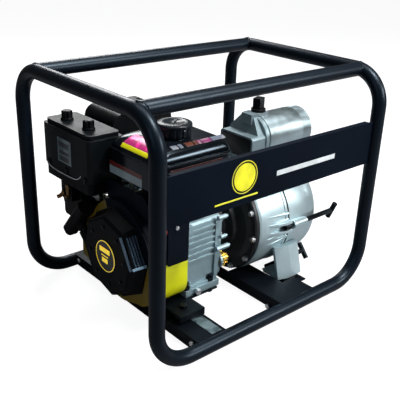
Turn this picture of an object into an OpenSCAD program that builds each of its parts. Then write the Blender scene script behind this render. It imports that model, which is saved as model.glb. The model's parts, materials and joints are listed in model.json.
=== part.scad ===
// Engine-driven trash pump in a tubular carrying frame.
// +X runs along the crankshaft from the recoil starter to the pump, +Z is up,
// and the origin is on the ground under the middle of the frame. Millimetres.

/* [Frame] */
// Overall length of the tube frame
frame_l = 555; // [555:1:600]
// Overall width of the tube frame
frame_w = 440; // [440:1:480]
// Overall height of the tube frame
frame_h = 455; // [450:1:490]
// Outside diameter of the frame tube (3/4 inch pipe)
tube_d = 26.9; // [26.9:0.1:28]
// Wall thickness of the frame tube
tube_wall = 2.3; // [1.5:0.1:3]
// Bend radius where the posts turn into the top bars
top_bend_r = 65; // [50:1:80]
// Bend radius where the posts turn into the bottom rails
foot_bend_r = 73; // [50:1:90]
// How far the long top rails sit in from the sides of the frame
rail_inset = 53; // [45:1:70]

/* [Sign panel] */
// Height of the sheet panel on the near side
panel_h = 84; // [60:1:100]
// Height of the panel's lower edge above the ground
panel_z = 267; // [255:1:275]

/* [Cross channels] */
// Centre of the engine channel along the frame
engine_channel_x = -139; // [-140:1:-138]
// Width of the engine channel
engine_channel_w = 66; // [60:1:68]
// Centre of the pump channel along the frame
pump_channel_x = 65; // [60:1:65]
// Width of the pump channel
pump_channel_w = 60; // [50:1:60]
// Sheet thickness of the channels and brackets
sheet = 3; // [2:0.5:3.5]

/* [Shaft line] */
// Sideways place of the crankshaft
axis_y = -8; // [-9:1:-7]
// Height of the crankshaft above the ground
axis_z = 131; // [130:1:132]

/* [Engine] */
// Cylinder bore
bore_d = 68; // [66:1:68]
// Piston stroke
stroke = 54; // [52:1:54]
// Lean of the cylinder above the horizontal
cylinder_tilt = 25; // [24:1:26]
// Outer radius of the blower housing
blower_r = 98; // [97:1:100]
// Width across the flats of the octagonal recoil cover
recoil_af = 150; // [146:1:150]
// Radius of the rope line on the starter reel
rope_r = 59; // [59:0.5:60]

/* [Fuel tank] */
// Length of the fuel tank
tank_l = 171; // [155:1:171]
// Width of the fuel tank
tank_w = 152; // [140:1:152]
// Height of the fuel tank
tank_h = 80; // [70:1:84]
// Outer radius of the fuel cap
cap_r = 32; // [28:1:34]

/* [Pump] */
// Outer radius of the pump casing
casing_r = 112; // [111:0.5:112.5]
// Wall thickness of the pump castings
casing_wall = 6; // [5:0.5:7]
// Thread radius of the 3 inch ports
port_r = 43.9; // [43.5:0.1:44]
// Bore radius of the 3 inch ports
port_bore_r = 38; // [35:0.5:39]
// Height of the suction port's centre
suction_z = 158; // [155:1:158]
// Height of the discharge pipe's centre
discharge_z = 290; // [290:1:292]
// Impeller radius
impeller_r = 62; // [58:1:64]

/* [Hidden] */
$fn = 64;

tube_r = tube_d / 2;
post_x = frame_l / 2 - tube_r;
post_y = frame_w / 2 - tube_r;
top_z = frame_h - tube_r;
foot_z = tube_r;
channel_top = 2 * tube_r;
channel_bottom = 4;
play = 0.05;

// engine stations along the shaft
case_x0 = -114;
case_x1 = -34;
cover_x1 = -22;
rod_x = -73;
near_y = -92;
far_y = 76;
base_z = 45;
base_top = 58;
case_top = 190;
throw = stroke / 2;
rod_len = 90;
deck = 146;
pin_r = 14.95;
big_end_r = 20.5;
journal_r = 12.45;
gear_module = 2;
crank_teeth = 18;
cam_teeth = 36;
cam_a = 50;
cam_gap = gear_module * (crank_teeth + cam_teeth) / 2;
cam_y = axis_y + cam_gap * cos(cam_a);
cam_z = axis_z - cam_gap * sin(cam_a);
mount_x = -139;
mount_dy = 114;
foot_bolt_x = [-110, -52];
foot_bolt_dy = 84.5;
housing_x0 = -200;
housing_x1 = -118;
rope_x = -214;

// starter rope direction, in the plane across the shaft
pull_a = 41;
pull = [0, cos(pull_a), sin(pull_a)];
rope_from = [rope_x, axis_y + rope_r * sin(pull_a), axis_z - rope_r * cos(pull_a)];
grip_t = 108;

// tank and its filler
tank_x1 = -23;
tank_x0 = tank_x1 - tank_l;
tank_y0 = -115;
tank_z0 = 267;
filler = [-110, -50];
cap_z = tank_z0 + tank_h + 3;

// pump stations along the shaft
bell_x0 = cover_x1;
disc_x0 = 46;
casing_x0 = 56;
disc_r = 108.5;
seam_x = 134;
cover_x2 = 232;
port_x = 266;
pipe_y = -4;
thread_l = 26;
leg_x0 = 102;
leg_x1 = 166;
leg_z = 22;
leg_y = -141;
leg_hole = [134, 120];
nut_r = 6.4;
rib_a = 13;
pad_z = 251;
pad_x1 = 125;
bracket_z = 8;
t_near = [-127, 134];
t_low = [-82, 26];

function mirror_y(p) = [2 * axis_y - p[0], p[1]];
t_far = mirror_y(t_near);
t_low_far = mirror_y(t_low);

// ---------- shared shapes ----------

module box(a, b) translate(a) cube(b - a);

module xrod(x0, x1, r, c = [axis_y, axis_z])
    translate([x0, c[0], c[1]]) rotate([0, 90, 0]) cylinder(h = x1 - x0, r = r);

module yrod(y0, y1, r, c)
    translate([c[0], y1, c[1]]) rotate([90, 0, 0]) cylinder(h = y1 - y0, r = r);

module zrod(z0, z1, r, c)
    translate([c[0], c[1], z0]) cylinder(h = z1 - z0, r = r);

module rrect(w, h, r) {
    square([w - 2 * r, h], center = true);
    square([w, h - 2 * r], center = true);
    for (i = [-1, 1], j = [-1, 1])
        translate([i * (w / 2 - r), j * (h / 2 - r)]) circle(r);
}

// blocks with four rounded edges, running along one axis
module zblock(a, b, r)
    translate([(a.x + b.x) / 2, (a.y + b.y) / 2, a.z])
        linear_extrude(b.z - a.z) rrect(b.x - a.x, b.y - a.y, r);

module xblock(a, b, r)
    translate([a.x, (a.y + b.y) / 2, (a.z + b.z) / 2]) rotate([90, 0, 90])
        linear_extrude(b.x - a.x) rrect(b.y - a.y, b.z - a.z, r);

module yblock(a, b, r)
    translate([(a.x + b.x) / 2, b.y, (a.z + b.z) / 2]) rotate([90, 0, 0])
        linear_extrude(b.y - a.y) rrect(b.x - a.x, b.z - a.z, r);

// profile drawn in [along the shaft, radius], spun about the shaft line
module spin(points, c = [axis_y, axis_z])
    translate([0, c[0], c[1]]) rotate([0, 90, 0])
        rotate_extrude() polygon([for (p = points) [p[1], p[0]]]);

// profile drawn in [y, z], running from x0 to x1
module xprism(x0, x1, points)
    translate([x0, 0, 0]) rotate([90, 0, 90]) linear_extrude(x1 - x0) polygon(points);

module hex(h, af) cylinder(h = h, d = af / cos(30), $fn = 6);

// places children about the cylinder's own axis: +Z runs out towards the head
module on_cylinder()
    translate([rod_x, axis_y, axis_z]) rotate([cylinder_tilt - 90, 0, 0]) children();

// places children with +Z along the rope
module on_rope()
    translate(rope_from) rotate([pull_a - 90, 0, 0]) children();

// ---------- frame ----------

module bend(r, big_r)
    rotate_extrude(angle = 90) translate([big_r, 0]) circle(r);

module frame_tubes(r) {
    for (sx = [-1, 1], sy = [-1, 1]) {
        zrod(foot_z + foot_bend_r, top_z - top_bend_r, r, [sx * post_x, sy * post_y]);
        translate([sx * (post_x - foot_bend_r), sy * post_y, foot_z + foot_bend_r])
            mirror([sx < 0 ? 1 : 0, 0, 0]) rotate([-90, 0, 0]) bend(r, foot_bend_r);
        translate([sx * post_x, sy * (post_y - top_bend_r), top_z - top_bend_r])
            mirror([0, sy < 0 ? 1 : 0, 0]) rotate([90, 0, 90]) bend(r, top_bend_r);
    }
    for (sy = [-1, 1]) {
        xrod(foot_bend_r - post_x, post_x - foot_bend_r, r, [sy * post_y, foot_z]);
        xrod(-post_x, post_x, r, [sy * (post_y - rail_inset), top_z]);
    }
    for (sx = [-1, 1])
        yrod(top_bend_r - post_y, post_y - top_bend_r, r, [sx * post_x, top_z]);
}

module tube_frame() color([0.06, 0.08, 0.11]) difference() {
    frame_tubes(tube_r);
    frame_tubes(tube_r - tube_wall);
    for (sy = [-1, 1]) zrod(-1, foot_z, 3, [0, sy * post_y]);
}

module rails_cut()
    for (sy = [-1, 1]) xrod(-post_x, post_x, tube_r, [sy * post_y, foot_z]);

module channel(cx, w) difference() {
    box([cx - w / 2, -post_y, channel_bottom], [cx + w / 2, post_y, channel_top]);
    box([cx - w / 2 + sheet, -post_y - 1, channel_bottom - 1],
        [cx + w / 2 - sheet, post_y + 1, channel_top - sheet]);
    rails_cut();
}

module engine_channel() color([0.06, 0.08, 0.10]) difference() {
    channel(engine_channel_x, engine_channel_w);
    for (s = [-1, 1]) zrod(channel_top - 10, channel_top + 1, 4.5, [mount_x, axis_y + s * mount_dy]);
}

// The drum hangs lower than the channel's top, which is cut away under it
module pump_channel() color([0.06, 0.08, 0.10]) difference() {
    channel(pump_channel_x, pump_channel_w);
    xrod(disc_x0 - 6, 200, casing_r + 2);
}

// Flat plate with a short lip folded back along its top and bottom edges
module sign_panel() color([0.06, 0.09, 0.13]) {
    half = post_x - tube_r;
    lip = 10;
    box([-half, -post_y - 1, panel_z], [half, -post_y + 1, panel_z + panel_h]);
    for (z = [panel_z, panel_z + panel_h - 2])
        box([-half + 12, -post_y + 1, z], [half - 12, -post_y + lip, z + 2]);
}

module rubber(h, r) rotate_extrude()
    polygon([[4.3, 0], [r, 0], [r, h * 0.25], [r - 2.5, h * 0.4], [r - 2.5, h * 0.6],
             [r, h * 0.75], [r, h], [4.3, h]]);

module rubber_mounts() color([0.05, 0.05, 0.06]) {
    for (s = [-1, 1]) {
        translate([mount_x, axis_y + s * mount_dy, channel_top]) rubber(base_z - 4 - channel_top, 17);
        translate([leg_hole[0], axis_y + s * leg_hole[1], bracket_z + sheet])
            rubber(leg_z - bracket_z - sheet, 18);
    }
}

// Plates that carry the crankcase base out to the mounts on the channel
module engine_brackets() color([0.07, 0.09, 0.11]) for (s = [-1, 1]) {
    difference() {
        union() {
            box([-164, axis_y + (s > 0 ? 70 : -96), base_z - 4],
                [-40, axis_y + (s > 0 ? 96 : -70), base_z]);
            box([-164, axis_y + (s > 0 ? 95 : -138), base_z - 4],
                [-108, axis_y + (s > 0 ? 138 : -95), base_z]);
            box([-112, axis_y + (s > 0 ? 95 : -138), base_z - 14],
                [-108, axis_y + (s > 0 ? 138 : -95), base_z - 3]);
            box([-164, axis_y + (s > 0 ? 134 : -138), base_z - 12],
                [-108, axis_y + (s > 0 ? 138 : -134), base_z - 3]);
        }
        zrod(base_z - 5, base_z + 1, 4.5, [mount_x, axis_y + s * mount_dy]);
        for (x = foot_bolt_x) zrod(base_z - 5, base_z + 1, 4.5, [x, axis_y + s * foot_bolt_dy]);
    }
}

// Brackets welded to the pump channel's side and the bottom rail, one under each pump leg
module pump_brackets() color([0.07, 0.09, 0.11]) for (s = [-1, 1]) mirror([0, s > 0 ? 1 : 0, 0])
    translate([0, s > 0 ? -2 * axis_y : 0, 0]) pump_bracket(s > 0 ? 2 * axis_y : 0);

module pump_bracket(shift) {
    x0 = pump_channel_x + pump_channel_w / 2;
    difference() {
        box([x0, -152, bracket_z], [leg_x1 + 2, -98, bracket_z + sheet]);
        zrod(bracket_z - 1, bracket_z + 9, 4.5, [leg_hole[0], axis_y - leg_hole[1]]);
    }
    difference() {
        box([x0, -post_y - shift, 5], [x0 + 36, -150, channel_top - 1]);
        box([x0 - 1, -post_y - shift - 1, 4], [x0 + 33, -152, channel_top - 1 - sheet]);
        translate([0, -shift, 0]) rails_cut();
    }
}

module mount_bolts() color([0.30, 0.32, 0.34]) for (s = [-1, 1]) {
    c = [mount_x, axis_y + s * mount_dy];
    zrod(channel_top - sheet - 10, base_z, 4, c);
    translate([c[0], c[1], base_z]) hex(5.5, 13);
    translate([c[0], c[1], channel_top - sheet - 6.5]) hex(6.5, 13);
    l = [leg_hole[0], axis_y + s * leg_hole[1]];
    zrod(bracket_z, leg_z + 10, 4, l);
    translate([l[0], l[1], bracket_z - 6]) hex(6, 13);
    for (x = foot_bolt_x) {
        b = [x, axis_y + s * foot_bolt_dy];
        zrod(base_z - 4, base_top, 4, b);
        translate([b[0], b[1], base_top]) hex(5.5, 13);
        translate([b[0], b[1], base_z - 10.5]) hex(6.5, 13);
    }
}

// ---------- engine block ----------

module cover_outline(x0, x1)
    xblock([x0, near_y + 3, 56], [x1, far_y - 3, case_top - 4], 14);

module crankcase() color([0.62, 0.70, 0.73]) difference() {
    union() {
        box([case_x0 - 2, axis_y - 93, base_z], [case_x1, axis_y + 93, base_top]);
        xblock([case_x0, near_y, base_top - 2], [case_x1, far_y, case_top], 8);
        xblock([case_x1 - 9, near_y - 4, 54], [case_x1, far_y + 4, case_top], 14);
        for (z = [112, 124, 136, 148, 160, 172])
            yblock([case_x0 + 6, near_y - 3, z], [case_x1 - 7, near_y + 1, z + 4], 1.5);
        box([case_x0 + 3, near_y - 5, base_top - 1], [case_x1 - 9, near_y + 1, base_top + 5]);
        yrod(near_y - 4, near_y + 1, 9, [case_x0 + 9, case_top - 9]);
        for (y = [-60, 10])
            box([-80, y - 9, case_top - 2], [-56, y + 9, tank_z0]);
        on_cylinder() {
            cylinder(h = deck, r = bore_d / 2 + 4.8);
            for (z = [64:9:deck - 8])
                translate([0, 0, z]) linear_extrude(3.5) rrect(76, 88, 8);
            translate([0, 0, deck - 6]) linear_extrude(6) rrect(76, 88, 8);
        }
    }
    box([case_x0 + 8, near_y + 10, base_z + 5.5], [case_x1 + 1, far_y - 10, case_top - 8]);
    on_cylinder() translate([0, 0, 20]) cylinder(h = deck, r = bore_d / 2);
    xrod(case_x0 - 1, case_x0 + 9, 26);
    xrod(case_x0 - 3, case_x0 + 3, 14);
    xrod(case_x0 + 3, case_x0 + 9, 6 + play, [cam_y, cam_z]);
    for (x = foot_bolt_x, s = [-1, 1]) {
        zrod(base_z - 1, base_top + 1, 4.5, [x, axis_y + s * foot_bolt_dy]);
        zrod(base_top, base_top + 14, 8, [x, axis_y + s * foot_bolt_dy]);
    }
    yrod(near_y - 20, near_y + 12, 6, [-90, 51.5]);
}

module crankcase_cover() color([0.56, 0.63, 0.66]) difference() {
    union() {
        cover_outline(case_x1, cover_x1);
        xrod(case_x1 - 4, cover_x1, 33);

        xrod(cover_x1 - 1, cover_x1 + 4, 15, [-80, 86]);
    }
    xrod(case_x1 - 5, cover_x1 + 1, 26);
    xrod(case_x1 - 1, cover_x1 - 4, 6 + play, [cam_y, cam_z]);
    xrod(cover_x1 - 12, cover_x1 + 5, 9.2, [-80, 86]);
    for (c = cover_bolt_places) xrod(case_x1 - 1, cover_x1 + 1, 3.2, c);
}

cover_bolt_places = [[-81, 174], [-81, 144], [-81, 112], [-70, 61], [-30, 62], [20, 64],
                     [64, 76], [64, 130], [64, 174], [20, 178], [-40, 178]];

casing_bolt_places = [for (a = [5:30:335]) [axis_y + 102 * cos(a), axis_z + 102 * sin(a)]];

module x_bolt(x, l, c, af) {
    xrod(x - l, x, 3, c);
    translate([x, c[0], c[1]]) rotate([0, 90, 0]) {
        cylinder(h = 1.6, r = af * 0.68);
        hex(5, af);
    }
}

module case_bolts() color([0.82, 0.84, 0.86]) {
    for (c = cover_bolt_places) x_bolt(cover_x1, 11, c, 10);
    for (c = casing_bolt_places)
        translate([disc_x0, c[0], c[1]]) rotate([0, -90, 0]) {
            hex(5.5, 9);
            translate([0, 0, -17]) cylinder(h = 18, r = 3);
        }
    translate([-158, -121.5, 211]) rotate([90, 0, 0]) hex(3, 7);
}

module clamp_nuts() color([0.05, 0.06, 0.07])
    for (c = [t_near, t_far]) difference() {
        xrod(seam_x - 17, seam_x - 1, nut_r, c);
        xrod(seam_x - 18, seam_x, 4 + play, c);
    }

module cylinder_head() color([0.55, 0.60, 0.62]) difference() {
    on_cylinder() {
        translate([0, 0, deck]) linear_extrude(5) rrect(80, 90, 8);
        translate([0, 0, deck]) linear_extrude(32) rrect(62, 78, 6);
        for (z = [deck + 11:8:deck + 24]) translate([0, 0, z]) linear_extrude(3) rrect(80, 90, 8);
        translate([-43, -12, deck + 16]) rotate([0, 90, 0]) cylinder(h = 20, r = 15);
        translate([23, -12, deck + 16]) rotate([0, 90, 0]) cylinder(h = 20, r = 15);
    }
    on_cylinder() {
        translate([0, 0, deck - 1]) cylinder(h = 7, r = bore_d / 2 - 6);
        translate([-44, -12, deck + 16]) rotate([0, 90, 0]) cylinder(h = 24, r = 10);
        translate([20, -12, deck + 16]) rotate([0, 90, 0]) cylinder(h = 24, r = 10);
        translate([plug_c[0], plug_c[1], deck - 1]) cylinder(h = 40, r = 7);
    }
}

plug_c = [-29, 30];

module rocker_cover() color([0.07, 0.08, 0.09]) on_cylinder() difference() {
    union() {
        translate([8, -8, deck + 32]) linear_extrude(4) rrect(62, 66, 8);
        translate([8, -8, deck + 36]) linear_extrude(20) rrect(54, 58, 10);
    }
    translate([8, -8, deck + 31]) linear_extrude(22) rrect(50, 54, 9);
}

module spark_plug() color([0.85, 0.85, 0.83]) on_cylinder() translate([plug_c[0], plug_c[1], 0]) {
    translate([0, 0, deck + 2]) cylinder(h = 30, r = 6.9);
    translate([0, 0, deck + 32]) hex(8, 16);
    translate([0, 0, deck + 40]) cylinder(h = 14, r = 5);
}

module plug_cap() color([0.05, 0.05, 0.06]) on_cylinder()
    translate([plug_c[0], plug_c[1], deck + 41]) {
    difference() {
        cylinder(h = 16, r = 9);
        translate([0, 0, -1]) cylinder(h = 14.2, r = 5.2);
    }
    translate([-26, 0, 9]) rotate([0, 90, 0]) cylinder(h = 20, r = 6);
}

// ---------- running gear ----------

// Spur gear with straight-sided teeth, drawn with one tooth gap on the +X side
module gear(teeth, m, h) {
    pitch = 360 / teeth;
    r = m * teeth / 2;
    linear_extrude(h) {
        circle(r - 1.25 * m);
        for (i = [0:teeth - 1]) rotate((i + 0.5) * pitch)
            polygon([[r - 1.6 * m, -m * 0.95], [r, -m * 0.7], [r + 0.9 * m, -m * 0.36],
                     [r + 0.9 * m, m * 0.36], [r, m * 0.7], [r - 1.6 * m, m * 0.95]]);
    }
}

module crank_web() linear_extrude(10) {
    circle(24);
    translate([throw, 0]) circle(17);
    translate([0, -15]) square([throw, 30]);
    intersection() {
        circle(38);
        translate([-40, -32]) square([34, 64]);
    }
}

// +X of the children lies on the cylinder's axis, +Z along the shaft
module on_crank(x) translate([x, axis_y, axis_z]) rotate([cylinder_tilt, 0, 0])
    rotate([90, 0, 90]) children();

module crankshaft() color([0.55, 0.56, 0.58]) {
    xrod(-202, -112, 10);
    xrod(-113, -93, journal_r);
    on_crank(-94) crank_web();
    on_crank(-85) translate([throw, 0, 0]) cylinder(h = 24, r = pin_r);
    on_crank(-62) crank_web();
    xrod(-53, 84, journal_r);
    translate([-50, axis_y, axis_z]) rotate([-cam_a, 0, 0]) rotate([90, 0, 90])
        gear(crank_teeth, gear_module, 8);
}

module ring(x0, x1, r1, r2) difference() {
    xrod(x0, x1, r2);
    xrod(x0 - 1, x1 + 1, r1);
}

module main_bearings() color([0.75, 0.76, 0.78]) {
    ring(case_x0 + 3, case_x0 + 9, journal_r + play, 26);
    ring(case_x1 - 4, cover_x1, journal_r + play, 26);
}

module camshaft() color([0.50, 0.50, 0.52]) {
    c = [cam_y, cam_z];
    xrod(case_x0 + 4, cover_x1 - 5, 6, c);
    for (x = [-104, -42])
        translate([x, c[0], c[1]]) rotate([90, 0, 90]) linear_extrude(5) {
            circle(8);
            translate([0, x < -90 ? 4 : -4]) circle(5);
        }
    translate([-50, c[0], c[1]]) rotate([180 - cam_a, 0, 0]) rotate([90, 0, 90])
        rotate(180 / cam_teeth) gear(cam_teeth, gear_module, 8);
}

// Rod shank and small end; its lower end stops short of the big end
module connecting_rod() color([0.60, 0.62, 0.64]) on_cylinder() difference() {
    union() {
        translate([-6, -8.5, throw + 10]) cube([12, 17, rod_len - 18]);
        translate([-9, 0, throw + rod_len]) rotate([0, 90, 0]) cylinder(h = 18, r = 14);
    }
    translate([-20, 0, throw]) rotate([0, 90, 0]) cylinder(h = 40, r = big_end_r + 3);
    translate([-20, 0, throw + rod_len]) rotate([0, 90, 0]) cylinder(h = 40, r = 9 + play);
}

module rod_big_end() color([0.60, 0.62, 0.64]) on_crank(rod_x - 9) translate([throw, 0, 0]) difference() {
    cylinder(h = 18, r = big_end_r);
    translate([0, 0, -1]) cylinder(h = 20, r = pin_r + play);
}

module piston() color([0.72, 0.73, 0.74]) on_cylinder() {
    pin_z = throw + rod_len;
    difference() {
        translate([0, 0, pin_z - 20]) cylinder(h = 48, r = bore_d / 2 - play);
        translate([0, 0, pin_z - 21]) cylinder(h = 42, r = bore_d / 2 - 5);
        translate([-40, 0, pin_z]) rotate([0, 90, 0]) cylinder(h = 80, r = 9.02);
        for (z = [16, 20, 24]) translate([0, 0, pin_z + z]) difference() {
            cylinder(h = 1.6, r = bore_d / 2 + 1);
            translate([0, 0, -1]) cylinder(h = 4, r = bore_d / 2 - 2);
        }
    }
    translate([-28, 0, pin_z]) rotate([0, 90, 0]) cylinder(h = 56, r = 9);
}

module flywheel() color([0.42, 0.44, 0.46]) difference() {
    union() {
        xrod(-168, -132, 26);
        xrod(-146, -134, 86);
        xrod(-190, -168, 30);
        for (i = [0:15]) translate([0, axis_y, axis_z]) rotate([i * 22.5, 0, 0])
            box([-166, -1.5, 44], [-145, 1.5, 84]);
    }
    xrod(-191, -131, 10);
    xrod(-191, -176, 25);
}

// ---------- blower, starter ----------

// Outline of the blower housing drawn [y, z], d is how far inside the outer skin it runs
module blower_outline(d) {
    translate([axis_y, axis_z]) circle(blower_r - d);
    translate([-66, 86]) circle(40 - d);
    polygon([[-106 + d, 124], [-106 + d, 86], [-66, 46 + d], [axis_y - 20, 36 + d], [axis_y, axis_z]]);
    polygon([[44, 203 - 1.4 * d], [122 - d, 144 - 0.5 * d], [122 - d, 74 + d],
             [44, 52 + 1.2 * d], [axis_y, axis_z]]);
}

module blower_solid(x0, x1, d) translate([x0, 0, 0]) rotate([90, 0, 90])
    linear_extrude(x1 - x0) blower_outline(d);

module blower_housing() color([0.86, 0.88, 0.05]) difference() {
    blower_solid(housing_x0, housing_x1, 0);
    blower_solid(housing_x0 + 3, housing_x1 + 1, 3);
    xrod(housing_x0 - 1, housing_x0 + 4, 64);
}

// Octagonal slice round the shaft with sloping flats: half-width r0 at x0 and r1 at x1
module octagon(x0, x1, r0, r1) intersection_for(a = [15:45:150])
    translate([0, axis_y, axis_z]) rotate([a, 0, 0]) translate([0, 0, -110]) linear_extrude(220)
        polygon([[x0, -r0], [x1, -r1], [x1, r1], [x0, r0]]);

module recoil_cover() color([0.05, 0.06, 0.07]) difference() {
    r = recoil_af / 2;
    union() {
        octagon(-203, housing_x0, r + 8, r + 8);
        octagon(-225, -202.9, r - 2, r + 5);
        octagon(-229, -224.9, r - 9, r - 5);
        xrod(-226, -204, 8);
        on_rope() translate([0, 0, 44]) cylinder(h = 36, r = 10);
    }
    difference() {
        xrod(-224, housing_x0 + 1, 67);
        xrod(-227, -204, 8);
    }
    on_rope() translate([0, 0, 20]) cylinder(h = 70, r = 3.6);
    translate([0, axis_y, axis_z]) rotate([60, 0, 0])
        for (i = [0:3]) box([-222 + i * 5, -32, 60], [-219.5 + i * 5, 20, 90]);
}

module recoil_reel() color([0.35, 0.36, 0.38]) difference() {
    union() {
        xrod(-220.5, -219, 62);
        xrod(-219, -209, rope_r - 2.6);
        xrod(-209, -206, 62);
    }
    xrod(-221, -205, 8 + play);
}

module starter_rope() color([0.12, 0.12, 0.13]) on_rope()
    translate([0, 0, 2]) cylinder(h = grip_t - 14, r = 2.2);

module starter_grip() color([0.05, 0.05, 0.06]) on_rope() translate([0, 0, grip_t]) {
    difference() {
        union() {
            yblock([-14, -46, -13], [14, 46, 13], 9);
            translate([0, 0, -24]) cylinder(h = 14, r = 9);
        }
        translate([0, 0, -25]) cylinder(h = 13.5, r = 2.4);
    }
}

// ---------- fuel ----------

module fuel_tank() color([0.05, 0.06, 0.07]) {
    y1 = tank_y0 + tank_w;
    z1 = tank_z0 + tank_h;
    seam = z1 - 26;
    difference() {
        union() {
            zblock([tank_x0 + 3, tank_y0 + 3, tank_z0], [tank_x1 - 3, y1 - 3, seam], 13);
            zblock([tank_x0, tank_y0, seam], [tank_x1, y1, seam + 3], 16);
            zblock([tank_x0 + 3, tank_y0 + 3, seam + 3], [tank_x1 - 3, y1 - 3, z1 - 14], 13);
            zblock([tank_x0 + 8, tank_y0 + 7, z1 - 14], [tank_x1 - 7, y1 - 7, z1 - 6], 13);
            zblock([tank_x0 + 20, tank_y0 + 14, z1 - 6], [tank_x1 - 14, y1 - 14, z1], 13);
            zrod(z1 - 1, z1 + 6, 24, filler);
        }
        zblock([tank_x0 + 6, tank_y0 + 6, tank_z0 + 3], [tank_x1 - 6, y1 - 6, z1 - 17], 10);
        zrod(z1 - 18, z1 + 7, 20, filler);
    }
}

module fuel_cap() color([0.06, 0.08, 0.09]) difference() {
    union() {
        zrod(cap_z, cap_z + 22, cap_r - 2, filler);
        zrod(cap_z + 22, cap_z + 25, cap_r - 5, filler);
        for (a = [0:15:345]) translate([filler[0], filler[1], cap_z]) rotate(a)
            box([cap_r - 4, -2.4, 0], [cap_r, 2.4, 19]);
    }
    zrod(cap_z - 1, cap_z + 17, 24.2, filler);
}

// ---------- air cleaner, carburettor ----------

air_x0 = -230;
air_x1 = -154;
air_y0 = 38;
air_y1 = 203;
air_z0 = 230;
air_z1 = 341;
elbow_c = [134, 203];
panel_x = -222;

module air_cleaner_base() color([0.06, 0.07, 0.08]) difference() {
    union() {
        zblock([air_x0 + 2, air_y0 + 2, air_z0], [air_x1 - 2, air_y1 - 2, air_z0 + 24], 10);
        xblock([-204, elbow_c[0] - 24, elbow_c[1] - 22], [-164, elbow_c[0] + 24, air_z0 + 2], 6);
        xblock([panel_x, 118, 190], [-198, 156, air_z0 + 2], 5);
        xblock([-199, 104, 161], [-166, 192, air_z0 + 2], 6);
        xblock([-199, 124, 138], [-172, 189, 170], 8);
        xrod(-166, -158, 21, elbow_c);
        box([-192.9, throttle_at[0] - 10, throttle_at[1] - 10], [-190, 106, throttle_at[1] + 8]);
    }
    xrod(-193, -189, 4 + play, throttle_at);
    zblock([air_x0 + 5, air_y0 + 5, air_z0 + 4], [air_x1 - 5, air_y1 - 5, air_z0 + 25], 8);
    zrod(elbow_c[1], air_z0 + 5, 14, [-184, elbow_c[0]]);
    xrod(-185, -157, 14, elbow_c);
}

module air_filter() color([0.75, 0.68, 0.45]) difference() {
    zblock([air_x0 + 12, air_y0 + 14, air_z0 + 5], [air_x1 - 10, air_y1 - 14, air_z1 - 22], 16);
    zblock([air_x0 + 26, air_y0 + 30, air_z0 + 4], [air_x1 - 24, air_y1 - 30, air_z1 - 21], 8);
}

module air_cleaner_cover() color([0.13, 0.16, 0.18]) difference() {
    union() {
        zblock([air_x0, air_y0, air_z0 + 24], [air_x1, air_y1, air_z1 - 8], 9);
        zblock([air_x0 + 5, air_y0 + 5, air_z1 - 8], [air_x1 - 5, air_y1 - 5, air_z1], 9);
    }
    zblock([air_x0 + 3, air_y0 + 3, air_z0 + 23], [air_x1 - 3, air_y1 - 3, air_z1 - 11], 10);
    for (c = knob_places) zrod(air_z1 - 12, air_z1 + 1, 3.05, c);
}

knob_places = [[-200, 84], [-200, 160]];

module knob(c) {
    zrod(air_z1 - 20, air_z1 + 1, 3, c);
    translate([c[0], c[1], air_z1 + 0.2]) {
        cylinder(h = 4, r = 12);
        cylinder(h = 18, r = 8);
        for (a = [30:60:330]) rotate(a) box([5, -2.4, 3], [10.4, 2.4, 17]);
    }
}

module cleaner_knob_near() color([0.04, 0.05, 0.05]) knob(knob_places[0]);

module cleaner_knob_far() color([0.04, 0.05, 0.05]) knob(knob_places[1]);

module carburettor() color([0.58, 0.60, 0.60]) difference() {
    union() {
        xblock([-158, elbow_c[0] - 24, elbow_c[1] - 16], [-153, elbow_c[0] + 24, elbow_c[1] + 16], 6);
        xrod(-154, -122, 19, elbow_c);
        xblock([-122, elbow_c[0] - 24, elbow_c[1] - 16], [-116, elbow_c[0] + 24, elbow_c[1] + 16], 6);
        zrod(elbow_c[1] - 40, elbow_c[1] - 12, 17, [-138, elbow_c[0]]);
        zrod(elbow_c[1] - 44, elbow_c[1] - 39, 6, [-138, elbow_c[0]]);
        xblock([-154, elbow_c[0] - 28, elbow_c[1] - 34], [-144, elbow_c[0] + 4, elbow_c[1] - 10], 4);
    }
    xrod(-159, -115, 11, elbow_c);
}

// A flat lever on a pivot that runs along X; a is its angle from straight down
module x_lever(x0, x1, c, len, w, a, boss) translate([0, c[0], c[1]]) rotate([a, 0, 0]) {
    box([x0, -w / 2, -len], [x1, w / 2, 0]);
    translate([x0, 0, 0]) rotate([0, 90, 0]) cylinder(h = x1 - x0, r = boss);
    box([x0 - 4, -w / 2, -len], [x0, w / 2, -len + 4]);
}

choke_at = [128, 218];
fuel_at = [146, 202];
throttle_at = [70, 212];

module choke_lever() color([0.62, 0.42, 0.18]) {
    x_lever(panel_x - 4, panel_x - 1, choke_at, 20, 8, 0, 6);
    xrod(panel_x - 1.5, panel_x - 0.05, 4, choke_at);
}

module fuel_lever() color([0.50, 0.36, 0.15]) {
    x_lever(panel_x - 4, panel_x - 1, fuel_at, 20, 7, 50, 5);
    xrod(panel_x - 1.5, panel_x - 0.05, 4, fuel_at);
}

// Speed lever on a bracket plate above the blower housing
module throttle_lever() color([0.70, 0.72, 0.72]) {
    translate([0, throttle_at[0], throttle_at[1]]) {
        box([-196, 0, -4], [-193, 30, 4]);
        box([-198.5, 26, -4], [-196, 30, 4]);
    }
    xrod(-196, -193, 8, throttle_at);
    xrod(-193.5, -186, 4, throttle_at);
}

// ---------- exhaust ----------

muffler_a = [-136, 100, 258];
muffler_b = [-8, 188, 346];

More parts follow.
